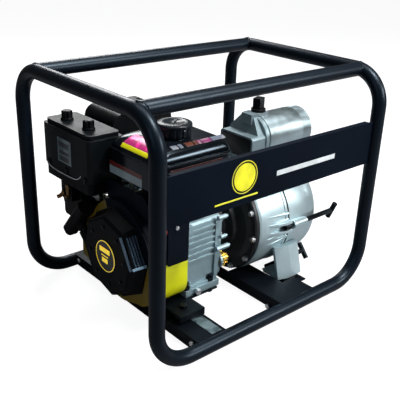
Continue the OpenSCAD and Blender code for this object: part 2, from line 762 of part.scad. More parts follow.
module muffler() color([0.16, 0.15, 0.14]) {
    difference() {
        union() {
            yblock(muffler_a, muffler_b, 20);
            zrod(196, 262, 11, [-14, 140]);
            xrod(-30 + 2, -10, 11, [140, 204]);
            xblock([-28.5 + 0.5, 118, 190], [-23, 162, 218], 6);
        }
        yblock(muffler_a + [3, 3, 3], muffler_b - [3, 3, 3], 18);
        zrod(204, 264, 9, [-14, 140]);
        xrod(-33, -14, 9, [140, 204]);
        yrod(180, 192, 9, [-110, 300]);
    }
}

module muffler_guard() color([0.05, 0.06, 0.06]) {
    a = muffler_a + [-6, -6, 40];
    b = muffler_b + [6, 6, 8];
    difference() {
        yblock(a, b, 24);
        yblock(a + [2, 2, -40], b - [2, 2, 2], 22);
        for (x = [a.x + 26:14:b.x - 26]) box([x, a.y + 16, b.z - 3], [x + 6, b.y - 16, b.z + 1]);
    }
    for (x = [a.x + 22, b.x - 28])
        box([x, muffler_a.y + 30, muffler_b.z], [x + 6, muffler_b.y - 30, b.z - 1.5]);
}

// ---------- switch, oil ----------

switch_a = [-176, -121.5, 140];
switch_b = [-130, -107.5, 226];
switch_c = [-114, 206];

module switch_box() color([0.05, 0.07, 0.09]) {
    yblock(switch_a, switch_b, 4);
    box([-150, -109, 196], [-136, -84, 204]);
    // Curved shield over the near upper part of the blower housing
    shield(-199, -124, blower_r + 0.3);
    shield(-203.4, -200.2, 90.3);
}

module shield(x0, x1, r0) translate([x0, axis_y, axis_z]) rotate([90, 0, 90])
    linear_extrude(x1 - x0) intersection() {
        difference() {
            circle(blower_r + 3);
            circle(r0);
        }
        polygon([[0, 0], [-150, 22], [-150, 150], [30, 150]]);
    }

module switch_knob() color([0.45, 0.05, 0.05]) {
    xrod(-180, -176.05, 6.5, switch_c);
    box([-185, switch_c[0] - 2, switch_c[1] - 6], [-179, switch_c[0] + 2, switch_c[1] + 6]);
}

module oil_filler_cap() color([0.80, 0.62, 0.16]) {
    c = [-80, 86];
    x0 = cover_x1 + 4.05;
    xrod(cover_x1 - 10, x0, 9, c);
    xrod(x0, x0 + 12, 13, c);
    translate([x0 + 12, c[0], c[1]]) rotate([0, 90, 0]) hex(8, 15);
    for (a = [20:45:335]) translate([0, c[0], c[1]]) rotate([a, 0, 0])
        box([x0 + 1, -2, 10], [x0 + 11, 2, 15]);
}

module drain_plugs() color([0.80, 0.82, 0.84]) {
    yrod(near_y - 9, near_y + 10, 5.8, [-90, 51.5]);
    translate([-90, near_y - 9, 51.5]) rotate([90, 0, 0]) hex(7, 12);
    translate([112, axis_y, axis_z - casing_r - 8]) hex(7.95, 17);
    zrod(axis_z - casing_r - 1, axis_z - casing_r + casing_wall, 5.95, [112, axis_y]);
}

// ---------- pump ----------

module pump_adapter() color([0.34, 0.38, 0.40]) difference() {
    union() {
        xblock([bell_x0, -58, 82], [bell_x0 + 8, 48, 170], 18);
        spin([[bell_x0 + 7, 0], [bell_x0 + 7, 48], [bell_x0 + 20, 45], [disc_x0 - 24, 47],
              [disc_x0 - 20, 64], [disc_x0 - 14, 66], [disc_x0 - 9, 66], [disc_x0 - 6, 86],
              [disc_x0, 96], [disc_x0, 106], [disc_x0 + 3, disc_r], [casing_x0, disc_r],
              [casing_x0, 0]]);
    }
    xrod(bell_x0 - 1, disc_x0 + 2, 36);
    xrod(bell_x0, casing_x0 + 1, 21);
    for (c = casing_bolt_places) xrod(disc_x0 - 1, casing_x0 + 1, 3, c);
}

// Space taken by a leg's ridged outer skin and foot, drawn d inside them
module leg_block(d) intersection() {
    xprism(leg_x0 - d, leg_x1 - d, [[-74 + d, 88 - d], [-127.6 + d, 88 - d], [leg_y + d, 36],
                                    [leg_y + d, leg_z + d], [-92 + 4 * d, leg_z + d], [-70, 50]]);
    translate([seam_x, -134.5 + d, 61]) rotate([75.4, 0, 0]) translate([0, 60, 0]) rotate([90, 0, 0])
        linear_extrude(140) polygon([[-60, -20], [-2, 0], [60, -11], [60, -110], [-60, -110]]);
}

// One leg: a hollow cast foot that stands out from the side of the drum
module leg(s) mirror([0, s > 0 ? 1 : 0, 0]) translate([0, s > 0 ? -2 * axis_y : 0, 0]) difference() {
    leg_block(0);
    leg_block(casing_wall);
    xrod(seam_x - 0.01, leg_x1 + 1, casing_r + 2);
    xrod(leg_x0 - 1, seam_x, casing_r - 3);
    zrod(leg_z - 1, leg_z + 14, 4.3, [leg_hole[0], axis_y - leg_hole[1]]);
    xrod(seam_x, leg_x1 + 1, 7, t_low);
}

// Two tapering ears on the drum with room for a clamp nut between them
module ears(c) {
    a = atan2(c[1] - axis_z, c[0] - axis_y);
    r = norm([c[0] - axis_y, c[1] - axis_z]);
    translate([0, axis_y, axis_z]) for (s = [-1, 1]) {
        rotate([a, 0, 0]) translate([0, 0, s * (nut_r + 2.55) - 2.5]) linear_extrude(5)
            polygon([[68, casing_r - 4], [seam_x - 1, casing_r - 4], [seam_x - 1, r + 5], [116, r + 5]]);
        rotate([a + s * rib_a, 0, 0]) translate([0, 0, -1.5]) linear_extrude(3)
            polygon([[66, casing_r - 4], [seam_x - 1, casing_r - 4], [seam_x - 1, casing_r + 4]]);
    }
}

module boss(x0, x1, r, c) {
    a = atan2(c[1] - axis_z, c[0] - axis_y);
    xrod(x0, x1, r, c);
    translate([0, axis_y, axis_z]) rotate([a, 0, 0])
        box([x0 + 1, casing_r - 8, -r + 1.5], [x1 - 1, norm([c[0] - axis_y, c[1] - axis_z]), r - 1.5]);
}

module pump_casing() color([0.78, 0.84, 0.86]) difference() {
    union() {
        spin([[casing_x0, 0], [casing_x0, 109], [casing_x0 + 5, 111], [casing_x0 + 14, casing_r],
              [seam_x - 8, casing_r], [seam_x - 8, casing_r + 1.2],
              [seam_x - 1, casing_r + 1.2], [seam_x - 1, casing_r - 1], [seam_x, casing_r - 1],
              [seam_x, 0]]);
        leg(-1);
        leg(1);
        ears(t_near);
        ears(t_far);
        box([84, pipe_y - 44, axis_z + 80], [pad_x1, pipe_y + 44, pad_z]);
    }
    spin([[casing_x0 + casing_wall, 0], [casing_x0 + casing_wall, 96],
          [casing_x0 + casing_wall + 14, casing_r - casing_wall],
          [seam_x + 1, casing_r - casing_wall], [seam_x + 1, 0]]);
    for (c = [t_near, t_far]) xrod(seam_x - 17.2, seam_x + 1, nut_r + 0.1, c);
    xrod(casing_x0 - 1, casing_x0 + casing_wall + 1, 24);
    ring(seam_x - 2, seam_x + 1, casing_r - 5.2, casing_r - 3.6);
    zrod(axis_z + 70, pad_z + 1, 18, [110, pipe_y]);
    for (c = casing_bolt_places) xrod(casing_x0 - 1, casing_x0 + casing_wall + 1, 3, c);
    for (c = [t_low, t_low_far]) xrod(seam_x - 18, seam_x + 1, 4 + play, c);
    zrod(axis_z - casing_r - 1, axis_z - casing_r + casing_wall + 2, 6, [112, axis_y]);
}

// Quarter-round shoulder of the front cover, drawn [x, radius]
function shoulder(r, depth, n) =
    [for (i = [0:n]) [cover_x2 - depth + depth * sin(90 * i / n), r - depth * (1 - cos(90 * i / n)) * 0.8]];

module front_cover() color([0.80, 0.86, 0.88]) {
    cover_shell();
    for (y = [axis_y - 26, axis_y + 21]) difference() {
        box([flap_pin[0] - 4, y, flap_pin[1] - 3.5], [cover_x2 - casing_wall + 1, y + 5, flap_pin[1] + 6]);
        yrod(y - 1, y + 6, 2 + play, flap_pin);
    }
}

module cover_shell() difference() {
    union() {
        spin(concat([[seam_x, 0], [seam_x, casing_r - 1], [seam_x + 1, casing_r - 1],
                     [seam_x + 1, casing_r + 1.2], [seam_x + 8, casing_r + 1.2],
                     [seam_x + 8, casing_r]], shoulder(casing_r, 32, 8), [[cover_x2, 0]]));
        xrod(cover_x2 - 4, port_x - thread_l, port_r + 1.5, [axis_y, suction_z]);
        xrod(port_x - thread_l - 1, port_x, port_r, [axis_y, suction_z]);
        for (c = [t_near, t_far]) boss(lug_x0, lug_x1, 8.5, c);
        for (c = [t_low, t_low_far]) boss(low_lug_x0, low_lug_x1, 8.5, c);
    }
    spin(concat([[seam_x - 1, 0], [seam_x - 1, casing_r - casing_wall]],
                [for (p = shoulder(casing_r - casing_wall, 28, 8)) [p[0] - casing_wall, p[1]]],
                [[cover_x2 - casing_wall, 0]]));
    xrod(cover_x2 - 10, port_x + 1, port_bore_r, [axis_y, suction_z]);
    for (c = [t_near, t_low, t_far, t_low_far]) xrod(seam_x - 1, cover_x2, 4.4, c);
}

module cover_gasket() color([0.05, 0.05, 0.05])
    ring(seam_x - 2, seam_x, casing_r - 5.1, casing_r - 3.7);

// Scroll around the impeller, wider on its outlet side
module volute() color([0.45, 0.46, 0.47]) difference() {
    union() {
        xrod(casing_x0 + casing_wall, casing_x0 + casing_wall + 4, 84);
        xrod(casing_x0 + casing_wall, 100, 84);
    }
    xrod(casing_x0 + casing_wall + 4, 101, 76, [axis_y + 3, axis_z + 3]);
    xrod(casing_x0 + casing_wall - 1, casing_x0 + casing_wall + 5, 24);
    translate([0, axis_y, axis_z]) box([casing_x0 + casing_wall + 4, -20, 60], [101, 20, 90]);
}

module vane() difference() {
    circle(30);
    translate([4, 0]) circle(26.5);
    translate([-31, -31]) square([62, 31]);
}

module impeller() color([0.42, 0.42, 0.43]) {
    x0 = 72;
    difference() {
        union() {
            xrod(x0, x0 + 4, impeller_r);
            xrod(x0, x0 + 16, 20);
            translate([x0 + 3, axis_y, axis_z]) rotate([90, 0, 90]) for (a = [0, 120, 240])
                rotate(a) translate([32, 0]) linear_extrude(17) vane();
        }
        xrod(x0 - 1, 84, journal_r);
    }
}

module mechanical_seal() color([0.30, 0.30, 0.32]) ring(48, 70, journal_r + play, 20.5);

lug_x0 = 139;
lug_x1 = 177;
low_lug_x0 = 172;
low_lug_x1 = 200;
flap_pin = [cover_x2 - casing_wall - 4, suction_z + 39];

module suction_flap() color([0.08, 0.08, 0.08]) {
    x1 = cover_x2 - casing_wall - 0.6;
    xrod(x1 - 5, x1, port_bore_r + 1, [axis_y, suction_z]);
    yrod(axis_y - 25, axis_y + 25, 2, flap_pin);
    box([x1 - 5, axis_y - 14, suction_z + 30], [x1, axis_y + 14, flap_pin[1]]);
}

module discharge_elbow() color([0.50, 0.57, 0.59]) difference() {
    union() {
        zblock([88, pipe_y - 43, pad_z], [pad_x1, pipe_y + 43, pad_z + 8], 6);
        xblock([90, -47, pad_z + 3], [seam_x - 5, 46, 303], 7);
        intersection() {
            xprism(104, seam_x, [[-46, 262], [-45, 299], [-14, 339], [12, 341], [40, 309], [44, 262]]);
            translate([0, 60, 0]) rotate([90, 0, 0]) linear_extrude(120)
                polygon([[108, 296], [122, 344], [seam_x, 344], [seam_x, 246], [108, 246]]);
        }
        xrod(seam_x - 6, seam_x, 45.5, [pipe_y, discharge_z]);
        box([112, pipe_y - 14, 320], [seam_x, pipe_y + 14, 341]);
    }
    xrod(120, seam_x + 1, 32, [pipe_y, discharge_z]);
    zrod(pad_z - 1, discharge_z, 18, [112, pipe_y]);
}

module discharge_pipe() color([0.72, 0.84, 0.85]) difference() {
    union() {
        xrod(seam_x, port_x - thread_l, port_r + 0.9, [pipe_y, discharge_z]);
        xrod(port_x - thread_l - 1, port_x, port_r, [pipe_y, discharge_z]);
        box([seam_x, pipe_y - 14, 320], [160, pipe_y + 14, 341]);
    }
    xrod(seam_x - 1, port_x + 1, port_bore_r, [pipe_y, discharge_z]);
    zrod(310, 342, 8.05, plug_at);
}

plug_at = [145, pipe_y];

module prime_plug() color([0.03, 0.03, 0.04]) {
    zrod(330, 341.1, 8, plug_at);
    zrod(341.05, 347, 15, plug_at);
    translate([plug_at[0], plug_at[1], 347]) rotate(20) translate([-11, -8, -1]) cube([22, 16, 23]);
}

// Clamp screw: thread, shoulder, long shank and cross bar turned by angle a
module t_handle(c, lug_x, end_x, a) {
    xrod(seam_x - 16, lug_x + 1, 4, c);
    xrod(lug_x + 0.05, lug_x + 4, 5.8, c);
    xrod(lug_x + 3, end_x, 5.2, c);
    translate([end_x, c[0], c[1]]) rotate([a, 0, 0]) translate([0, 0, -19]) cylinder(h = 38, r = 5.5);
}

module t_handle_near() color([0.04, 0.05, 0.06]) t_handle(t_near, lug_x1, 262, 23);

module t_handle_low_near() color([0.04, 0.05, 0.06]) t_handle(t_low, low_lug_x1, 236, -40);

module t_handle_far() color([0.04, 0.05, 0.06]) t_handle(t_far, lug_x1, 262, -30);

module t_handle_low_far() color([0.04, 0.05, 0.06]) t_handle(t_low_far, low_lug_x1, 236, 35);

tube_frame();
engine_channel();
pump_channel();
sign_panel();
rubber_mounts();
engine_brackets();
pump_brackets();
mount_bolts();
crankcase();
crankcase_cover();
case_bolts();
clamp_nuts();
cylinder_head();
rocker_cover();
spark_plug();
plug_cap();
crankshaft();
main_bearings();
camshaft();
connecting_rod();
rod_big_end();
piston();
flywheel();
blower_housing();
recoil_cover();
recoil_reel();
starter_rope();
starter_grip();
fuel_tank();
fuel_cap();
air_cleaner_base();
air_filter();
air_cleaner_cover();
cleaner_knob_near();
cleaner_knob_far();
carburettor();
choke_lever();
fuel_lever();
throttle_lever();
muffler();
muffler_guard();
switch_box();
switch_knob();
oil_filler_cap();
drain_plugs();
pump_adapter();
pump_casing();
front_cover();
cover_gasket();
volute();
impeller();
mechanical_seal();
suction_flap();
discharge_elbow();
discharge_pipe();
prime_plug();
t_handle_near();
t_handle_low_near();
t_handle_far();
t_handle_low_far();
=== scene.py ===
"""Looks of an engine-driven trash pump in a tubular carrying frame.

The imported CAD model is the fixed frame. Every piece made here is placed from it, in metres.
Small sizes are written in millimetres and turned into metres with MM or mm().
"""

import json
import math
import random

import bpy
from mathutils import Matrix, Vector
from mathutils.bvhtree import BVHTree

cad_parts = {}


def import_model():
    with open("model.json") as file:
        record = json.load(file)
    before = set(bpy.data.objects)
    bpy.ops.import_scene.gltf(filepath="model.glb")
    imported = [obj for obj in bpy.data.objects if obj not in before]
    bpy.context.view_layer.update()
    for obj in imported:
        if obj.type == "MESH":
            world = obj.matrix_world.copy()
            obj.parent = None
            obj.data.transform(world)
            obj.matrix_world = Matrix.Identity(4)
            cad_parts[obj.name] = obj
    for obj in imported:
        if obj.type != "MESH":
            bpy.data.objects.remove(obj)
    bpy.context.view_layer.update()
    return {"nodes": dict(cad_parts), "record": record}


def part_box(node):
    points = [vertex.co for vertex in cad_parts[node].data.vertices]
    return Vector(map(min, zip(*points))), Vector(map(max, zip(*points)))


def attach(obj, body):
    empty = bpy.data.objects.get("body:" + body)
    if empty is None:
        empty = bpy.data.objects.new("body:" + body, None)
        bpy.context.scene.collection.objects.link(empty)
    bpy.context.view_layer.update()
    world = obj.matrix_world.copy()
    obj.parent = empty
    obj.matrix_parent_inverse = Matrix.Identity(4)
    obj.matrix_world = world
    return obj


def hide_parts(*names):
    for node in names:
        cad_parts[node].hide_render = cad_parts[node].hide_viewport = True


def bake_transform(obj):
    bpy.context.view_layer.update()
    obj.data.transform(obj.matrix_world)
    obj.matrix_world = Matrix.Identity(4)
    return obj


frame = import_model()
ROOT = "pump_set"
MM = 0.001
random.seed(7)


def mm(x, y, z):
    """A vector from millimetres."""
    return Vector((x, y, z)) * MM


def span(start, end):
    """A range from millimetres."""
    return start * MM, end * MM


# ---------- places taken from the CAD frame ----------

def middle(node):
    """Centre of a CAD node's box."""
    lo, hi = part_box(node)
    return (lo + hi) / 2


SHAFT = middle("mechanical_seal")
TANK_LO, TANK_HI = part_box("fuel_tank")
RECOIL_LO, RECOIL_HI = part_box("recoil_cover")
PIPE_LO, PIPE_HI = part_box("discharge_pipe")
COVER_LO, COVER_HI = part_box("front_cover")
AIR_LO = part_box("air_cleaner_cover")[0]
CAP_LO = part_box("fuel_cap")[0]
TUBE_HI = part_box("tube_frame")[1]

# sizes of the CAD source that the boxes do not give
TUBE_R = 13.45 * MM
RAIL_INSET = 53 * MM
PORT_R = 43.9 * MM
SUCTION_Z = 158 * MM

# centre lines of the long top rails and the end loops
RAIL_Y = TUBE_HI.y - TUBE_R - RAIL_INSET
POST_X = TUBE_HI.x - TUBE_R
TOP_Z = TUBE_HI.z - TUBE_R


# ---------- mesh helpers ----------

def add_piece(name, verts, faces, body, slot, sharp=35):
    """A mesh object that rides on a CAD body and takes its finish from a slot of the record.

    A piece that stretches between two bodies is made with body None and rides on no body.
    """
    mesh = bpy.data.meshes.new(name)
    mesh.from_pydata([tuple(v) for v in verts], [], faces)
    mesh.validate()
    mesh.polygons.foreach_set("use_smooth", [True] * len(mesh.polygons))
    mesh.set_sharp_from_angle(angle=math.radians(sharp))
    obj = bpy.data.objects.new(name, mesh)
    bpy.context.scene.collection.objects.link(obj)
    if body:
        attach(obj, body)
    return dress(obj, slot)


def skin_rings(rings, closed=False):
    """Faces between rings of equal length, with flat caps unless the rings close on themselves."""
    n = len(rings[0])
    last = len(rings) if closed else len(rings) - 1
    faces = []
    for k in range(last):
        a, b = k * n, ((k + 1) % len(rings)) * n
        for i in range(n):
            j = (i + 1) % n
            faces.append((a + i, a + j, b + j, b + i))
    if not closed:
        faces.append(tuple(reversed(range(n))))
        faces.append(tuple(range((len(rings) - 1) * n, len(rings) * n)))
    return faces


def loft(name, rings, body, slot, closed=False, sharp=35):
    """Solid through a row of rings."""
    verts = [p for ring in rings for p in ring]
    return add_piece(name, verts, skin_rings(rings, closed), body, slot, sharp)


def rounded_ring(x0, x1, y0, y1, r, z, steps=8):
    """Rounded rectangle at height z, counterclockwise from above."""
    corners = ((x1 - r, y1 - r, 0), (x0 + r, y1 - r, 90), (x0 + r, y0 + r, 180), (x1 - r, y0 + r, 270))
    ring = []
    for cx, cy, start in corners:
        for i in range(steps + 1):
            a = math.radians(start + 90 * i / steps)
            ring.append(Vector((cx + r * math.cos(a), cy + r * math.sin(a), z)))
    return ring


def frame_axes(direction):
    """Two unit vectors across a direction."""
    d = direction.normalized()
    side = d.cross(Vector((0, 0, 1))) if abs(d.z) < 0.9 else d.cross(Vector((1, 0, 0)))
    side.normalize()
    return side, d.cross(side)


def circle(centre, side, up, radius, sides):
    """Points around a centre, in the plane of two unit vectors."""
    ring = []
    for i in range(sides):
        a = 2 * math.pi * i / sides
        ring.append(centre + (side * math.cos(a) + up * math.sin(a)) * radius)
    return ring


def revolve(name, profile, origin, axis, body, slot, sides=64):
    """Solid of revolution. The profile holds (distance along the axis, radius) in millimetres.

    Its last point joins its first, so it starts and ends on the axis or goes around a section.
    """
    d = Vector(axis).normalized()
    side, up = frame_axes(d)
    rings = [circle(Vector(origin) + d * along * MM, side, up, r * MM, sides) for along, r in profile]
    return loft(name, rings, body, slot, closed=True)


def smooth_path(points, steps=8):
    """Catmull-Rom curve through the points."""
    pts = [points[0] * 2 - points[1]] + points + [points[-1] * 2 - points[-2]]
    path = []
    for i in range(1, len(pts) - 2):
        p0, p1, p2, p3 = pts[i - 1 : i + 3]
        for s in range(steps):
            t = s / steps
            a = 2 * p1 + (p2 - p0) * t
            b = (2 * p0 - 5 * p1 + 4 * p2 - p3) * t * t
            c = (3 * p1 - p0 - 3 * p2 + p3) * t**3
            path.append((a + b + c) / 2)
    path.append(pts[-2])
    return path


def sweep(name, path, radius, body, slot, sides=12, closed=False):
    """Round bar along a path. The radius is a number or a function of the fraction along it."""
    size = radius if callable(radius) else (lambda t: radius)
    count = len(path)
    tangents = []
    for i in range(count):
        before = path[i - 1] if i or closed else path[0]
        after = path[(i + 1) % count] if i < count - 1 or closed else path[-1]
        tangents.append((after - before).normalized())
    side = frame_axes(tangents[0])[0]
    rings = []
    for i, point in enumerate(path):
        side = (side - tangents[i] * side.dot(tangents[i])).normalized()
        up = tangents[i].cross(side)
        rings.append(circle(point, side, up, size(i / (count - 1)), sides))
    return loft(name, rings, body, slot, closed=closed, sharp=50)


def patch(name, surface, u_range, v_range, body, slot, steps=(8, 8), thick=0.35 * MM):
    """A thin closed skin on a surface. surface(u, v) gives a point and its outward normal."""
    nu, nv = steps
    sunk = thick * 0.3
    outer, inner = [], []
    for i in range(nu + 1):
        for j in range(nv + 1):
            u = u_range[0] + (u_range[1] - u_range[0]) * i / nu
            v = v_range[0] + (v_range[1] - v_range[0]) * j / nv
            point, normal = surface(u, v)
            outer.append(point + normal * thick)
            inner.append(point - normal * sunk)
    row = nv + 1
    total = len(outer)
    faces = []
    for i in range(nu):
        for j in range(nv):
            a = i * row + j
            quad = (a, a + row, a + row + 1, a + 1)
            faces.append(quad)
            faces.append(tuple(total + k for k in reversed(quad)))
    rim = [i * row for i in range(nu + 1)] + [nu * row + j for j in range(1, row)]
    rim += [i * row + nv for i in range(nu - 1, -1, -1)] + list(range(nv - 1, 0, -1))
    for k, a in enumerate(rim):
        b = rim[(k + 1) % len(rim)]
        faces.append((b, a, total + a, total + b))
    return add_piece(name, outer + inner, faces, body, slot, sharp=30)


def flat(origin, along, across, normal):
    """A plane for patch(): u runs along, v across."""
    o, a, b, n = (Vector(w) for w in (origin, along, across, normal))
    return lambda u, v: (o + a * u + b * v, n)


def slab(name, centre, size, body, slot, turn=None, edge=0.6):
    """Block with rounded edges, turned by a matrix about its centre. Size and edge are in millimetres."""
    sx, sy, sz = (s * MM / 2 for s in size)
    cut = edge * MM
    rings = []
    for k, z in ((cut, -sz), (0, -sz + cut), (0, sz - cut), (cut, sz)):
        ring = rounded_ring(-sx + k, sx - k, -sy + k, sy - k, cut * 2, z, steps=3)
        if turn:
            ring = [turn @ p for p in ring]
        rings.append([p + centre for p in ring])
    return loft(name, rings, body, slot)


# ---------- materials ----------

MATERIALS = {}


def dress(obj, finish):
    """Gives an object one of the finished materials, by name."""
    obj.data.materials.clear()
    obj.data.materials.append(MATERIALS[finish])
    return obj


class Surface:
    """A node material built up from a base colour with variation, wear, dirt and relief."""

    def __init__(self, name, colour, metallic, rough):
        self.name = name
        self.mat = bpy.data.materials.new(name)
        self.mat.use_nodes = True
        self.tree = self.mat.node_tree
        self.bsdf = self.tree.nodes["Principled BSDF"]
        self.mat.diffuse_color = (*colour, 1)
        self.where = self.make("ShaderNodeTexCoord").outputs["Object"]
        self.bsdf.inputs["Metallic"].default_value = metallic
        self.colour = self.constant("ShaderNodeRGB", (*colour, 1))
        self.rough = self.constant("ShaderNodeValue", rough)
        self.round = self.make("ShaderNodeBevel", {"Radius": 0.9 * MM}, samples=4).outputs["Normal"]
        self.normal = self.round

    def make(self, kind, inputs=None, **settings):
        """A new node with its settings and inputs."""
        node = self.tree.nodes.new(kind)
        for key, val in settings.items():
            setattr(node, key, val)
        for key, val in (inputs or {}).items():
            self.put(node.inputs[key], val)
        return node

    def put(self, socket, val):
        """Links a socket into an input, or sets a plain value."""
        if isinstance(val, bpy.types.NodeSocket):
            self.tree.links.new(val, socket)
        else:
            socket.default_value = val

    def constant(self, kind, val):
        """Output of a new value or colour node."""
        node = self.make(kind)
        node.outputs[0].default_value = val
        return node.outputs[0]

    def math(self, operation, a, b):
        """Result of a maths node on two numbers or sockets."""
        return self.make("ShaderNodeMath", {0: a, 1: b}, operation=operation).outputs[0]

    def noise(self, scale, detail=4.0, stretch=None):
        """Noise from 0 to 1 in the object's own space, finer along the stretched axes."""
        where = self.where
        if stretch:
            where = self.make("ShaderNodeMapping", {"Vector": where, "Scale": stretch}).outputs[0]
        made = self.make("ShaderNodeTexNoise", {"Vector": where, "Scale": scale, "Detail": detail})
        return made.outputs["Fac"]

    def cells(self, scale):
        """Distance to the nearest point of a random scatter."""
        return self.make("ShaderNodeTexVoronoi", {"Vector": self.where, "Scale": scale}).outputs["Distance"]

    def facing(self, axis):
        """How far the surface looks along a world axis."""
        normal = self.make("ShaderNodeNewGeometry").outputs["Normal"]
        return self.make("ShaderNodeSeparateXYZ", {0: normal}).outputs[axis]

    def ramp(self, fac, low, high):
        """Maps a value so that low gives 0 and high gives 1."""
        inputs = {"Value": fac, "From Min": low, "From Max": high}
        return self.make("ShaderNodeMapRange", inputs, clamp=True).outputs[0]

    def blend(self, fac, a, b):
        """Mixes two colours, each a tuple or a socket."""
        a, b = ((*c, 1) if isinstance(c, tuple) else c for c in (a, b))
        return self.make("ShaderNodeMix", {0: fac, 6: a, 7: b}, data_type="RGBA").outputs[2]

    def cover(self, mask, colour, rougher):
        """Lays a colour over the surface through a mask, and changes the roughness there."""
        self.colour = self.blend(mask, self.colour, colour)
        self.rough = self.math("ADD", self.rough, self.math("MULTIPLY", mask, rougher))
        return self

    def masked(self, where, broken, amount):
        """A mask broken up by a second one, at a given strength."""
        return self.math("MULTIPLY", self.math("MULTIPLY", where, broken), amount)

    def vary(self, amount, scale=9.0):
        """Slow drift of the tone over the surface."""
        drift = self.ramp(self.noise(scale, 3), 0.35, 0.65)
        factor = self.math("ADD", self.math("MULTIPLY", drift, amount), 1 - amount / 2)
        node = self.make("ShaderNodeVectorMath", {0: self.colour, "Scale": factor}, operation="SCALE")
        self.colour = node.outputs[0]
        return self

    def smudge(self, spread, scale=35.0):
        """Patches that are duller or shinier."""
        spots = self.math("MULTIPLY", self.math("SUBTRACT", self.noise(scale, 6), 0.5), spread * 2)
        self.rough = self.math("ADD", self.rough, spots)
        return self

    def edges(self, colour, strength, rougher=0.0):
        """Rubbed edges, found where the rounded normal leaves the true one."""
        true = self.make("ShaderNodeNewGeometry").outputs["Normal"]
        dot = self.make("ShaderNodeVectorMath", {0: self.round, 1: true}, operation="DOT_PRODUCT")
        bend = self.ramp(dot.outputs["Value"], 0.985, 0.86)
        broken = self.ramp(self.noise(70, 6), 0.42, 0.62)
        return self.cover(self.masked(bend, broken, strength), colour, rougher)

    def dust(self, colour, amount):
        """Pale dust that settles on faces that look up."""
        level = self.ramp(self.facing("Z"), 0.55, 1.0)
        speckle = self.ramp(self.noise(28, 8), 0.38, 0.72)
        return self.cover(self.masked(level, speckle, amount), colour, 0.5)

    def dirt_and_shade(self, colour, amount, reach=12):
        """Darkening in the corners, within a reach in millimetres: brown dirt on the bare metals and the
        plug, near-black painted shade on the castings and the fan shield.
        """
        node = self.make("ShaderNodeAmbientOcclusion", {"Distance": reach * MM}, samples=4)
        shade = self.ramp(node.outputs["AO"], 0.85, 0.3)
        patchy = self.ramp(self.noise(45, 5), 0.3, 0.7)
        return self.cover(self.masked(shade, patchy, amount), colour, 0.25)

    def relief(self, height, depth):
        """Bump from a 0 to 1 height, depth in millimetres."""
        inputs = {"Height": height, "Distance": depth * MM, "Strength": 1.0, "Normal": self.normal}
        self.normal = self.make("ShaderNodeBump", inputs).outputs["Normal"]
        return self

    def done(self, **extra):
        """Wires the shader, sets any further inputs and files the material under its name."""
        self.put(self.bsdf.inputs["Base Color"], self.colour)
        self.put(self.bsdf.inputs["Roughness"], self.rough)
        self.put(self.bsdf.inputs["Normal"], self.normal)
        for key, val in extra.items():
            self.put(self.bsdf.inputs[key.replace("_", " ")], val)
        MATERIALS[self.name] = self.mat


COOL_TINT = (0.62, 0.82, 1.0, 1)
BARE_STEEL = (0.04, 0.05, 0.06)
ROAD_DUST = (0.32, 0.31, 0.29)
SCRAPED = (0.04, 0.04, 0.04)
SCORCHED = (0.008, 0.0065, 0.006)


def painted(name, colour, rough, peel=0.10, wear=0.5, dust=0.0, gloss=0.2):
    """Sprayed or powder-coated steel with orange peel, rubbed edges and a little dust."""
    s = Surface(name, colour, 0.0, rough)
    s.vary(0.35).smudge(0.07).edges(BARE_STEEL, wear, 0.1).dust(ROAD_DUST, dust)
    s.relief(s.noise(420, 3), peel).relief(s.noise(60, 2), peel * 1.5)
    s.done(Specular_IOR_Level=gloss, Specular_Tint=COOL_TINT)


def blower_paint(name, bright, mustard_painted_shade):
    """Bright yellow where it faces the near side, with a mustard painted shade on the sides that look away
    from it.
    """
    s = Surface(name, mustard_painted_shade, 0.0, 0.32)
    s.colour = s.blend(s.ramp(s.facing("Y"), -0.35, -0.8), mustard_painted_shade, bright)
    # Painted shade: near-black darkening in the recesses, reaching 25 mm.
    s.vary(0.3).smudge(0.08).edges((0.22, 0.20, 0.05), 0.4, 0.1).dirt_and_shade((0.02, 0.02, 0.02), 0.5, 25)
    s.relief(s.noise(420, 3), 0.08).relief(s.noise(60, 2), 0.12)
    s.done(Specular_IOR_Level=0.35)


def cast_metal(name, colour, rough, grain=0.22, metallic=0.55, dirt_and_shade=0.55, rub=0.7):
    """Silver-painted sand or die casting: pebbled skin, bright edges, and near-black painted shade in the
    corners.
    """
    s = Surface(name, colour, metallic, rough)
    bright = tuple(min(1, c * 1.4 + 0.03) for c in colour)
    s.vary(0.22, 14).smudge(0.12, 55).edges(bright, rub, -0.08)
    # Painted shade: near-black darkening in the corners.
    s.dirt_and_shade((0.03, 0.04, 0.045), dirt_and_shade).dust((0.45, 0.46, 0.46), 0.06)
    s.relief(s.cells(520.0), grain).relief(s.noise(150, 5), grain * 1.6)
    s.done()


def bare_metal(name, colour, rough, dirt=0.3):
    """Turned or plated steel with fine marks left by the tool."""
    s = Surface(name, colour, 1.0, rough)
    s.vary(0.18, 20).smudge(0.10, 80).dirt_and_shade((0.08, 0.06, 0.04), dirt)
    s.relief(s.noise(900, 3, stretch=(1, 14, 14)), 0.05)
    s.done()


def moulded(name, colour, rough, grain=0.07, dust=0.0, gloss=0.22):
    """Injection-moulded plastic with a fine spark-eroded texture and handling marks."""
    s = Surface(name, colour, 0.0, rough)
    pale = tuple(c * 2.2 + 0.02 for c in colour)
    s.vary(0.28, 11).smudge(0.09, 40).edges(pale, 0.45).dust((0.30, 0.29, 0.27), dust)
    s.relief(s.noise(1400, 2), grain)
    s.done(Specular_IOR_Level=gloss)


def rubber(name, colour):
    """Dull rubber with a bloom of dust."""
    s = Surface(name, colour, 0.0, 0.78)
    s.vary(0.4, 25).smudge(0.08, 90).dust((0.16, 0.16, 0.15), 0.08)
    s.relief(s.noise(700, 4), 0.08)
    s.done(Specular_IOR_Level=0.3)


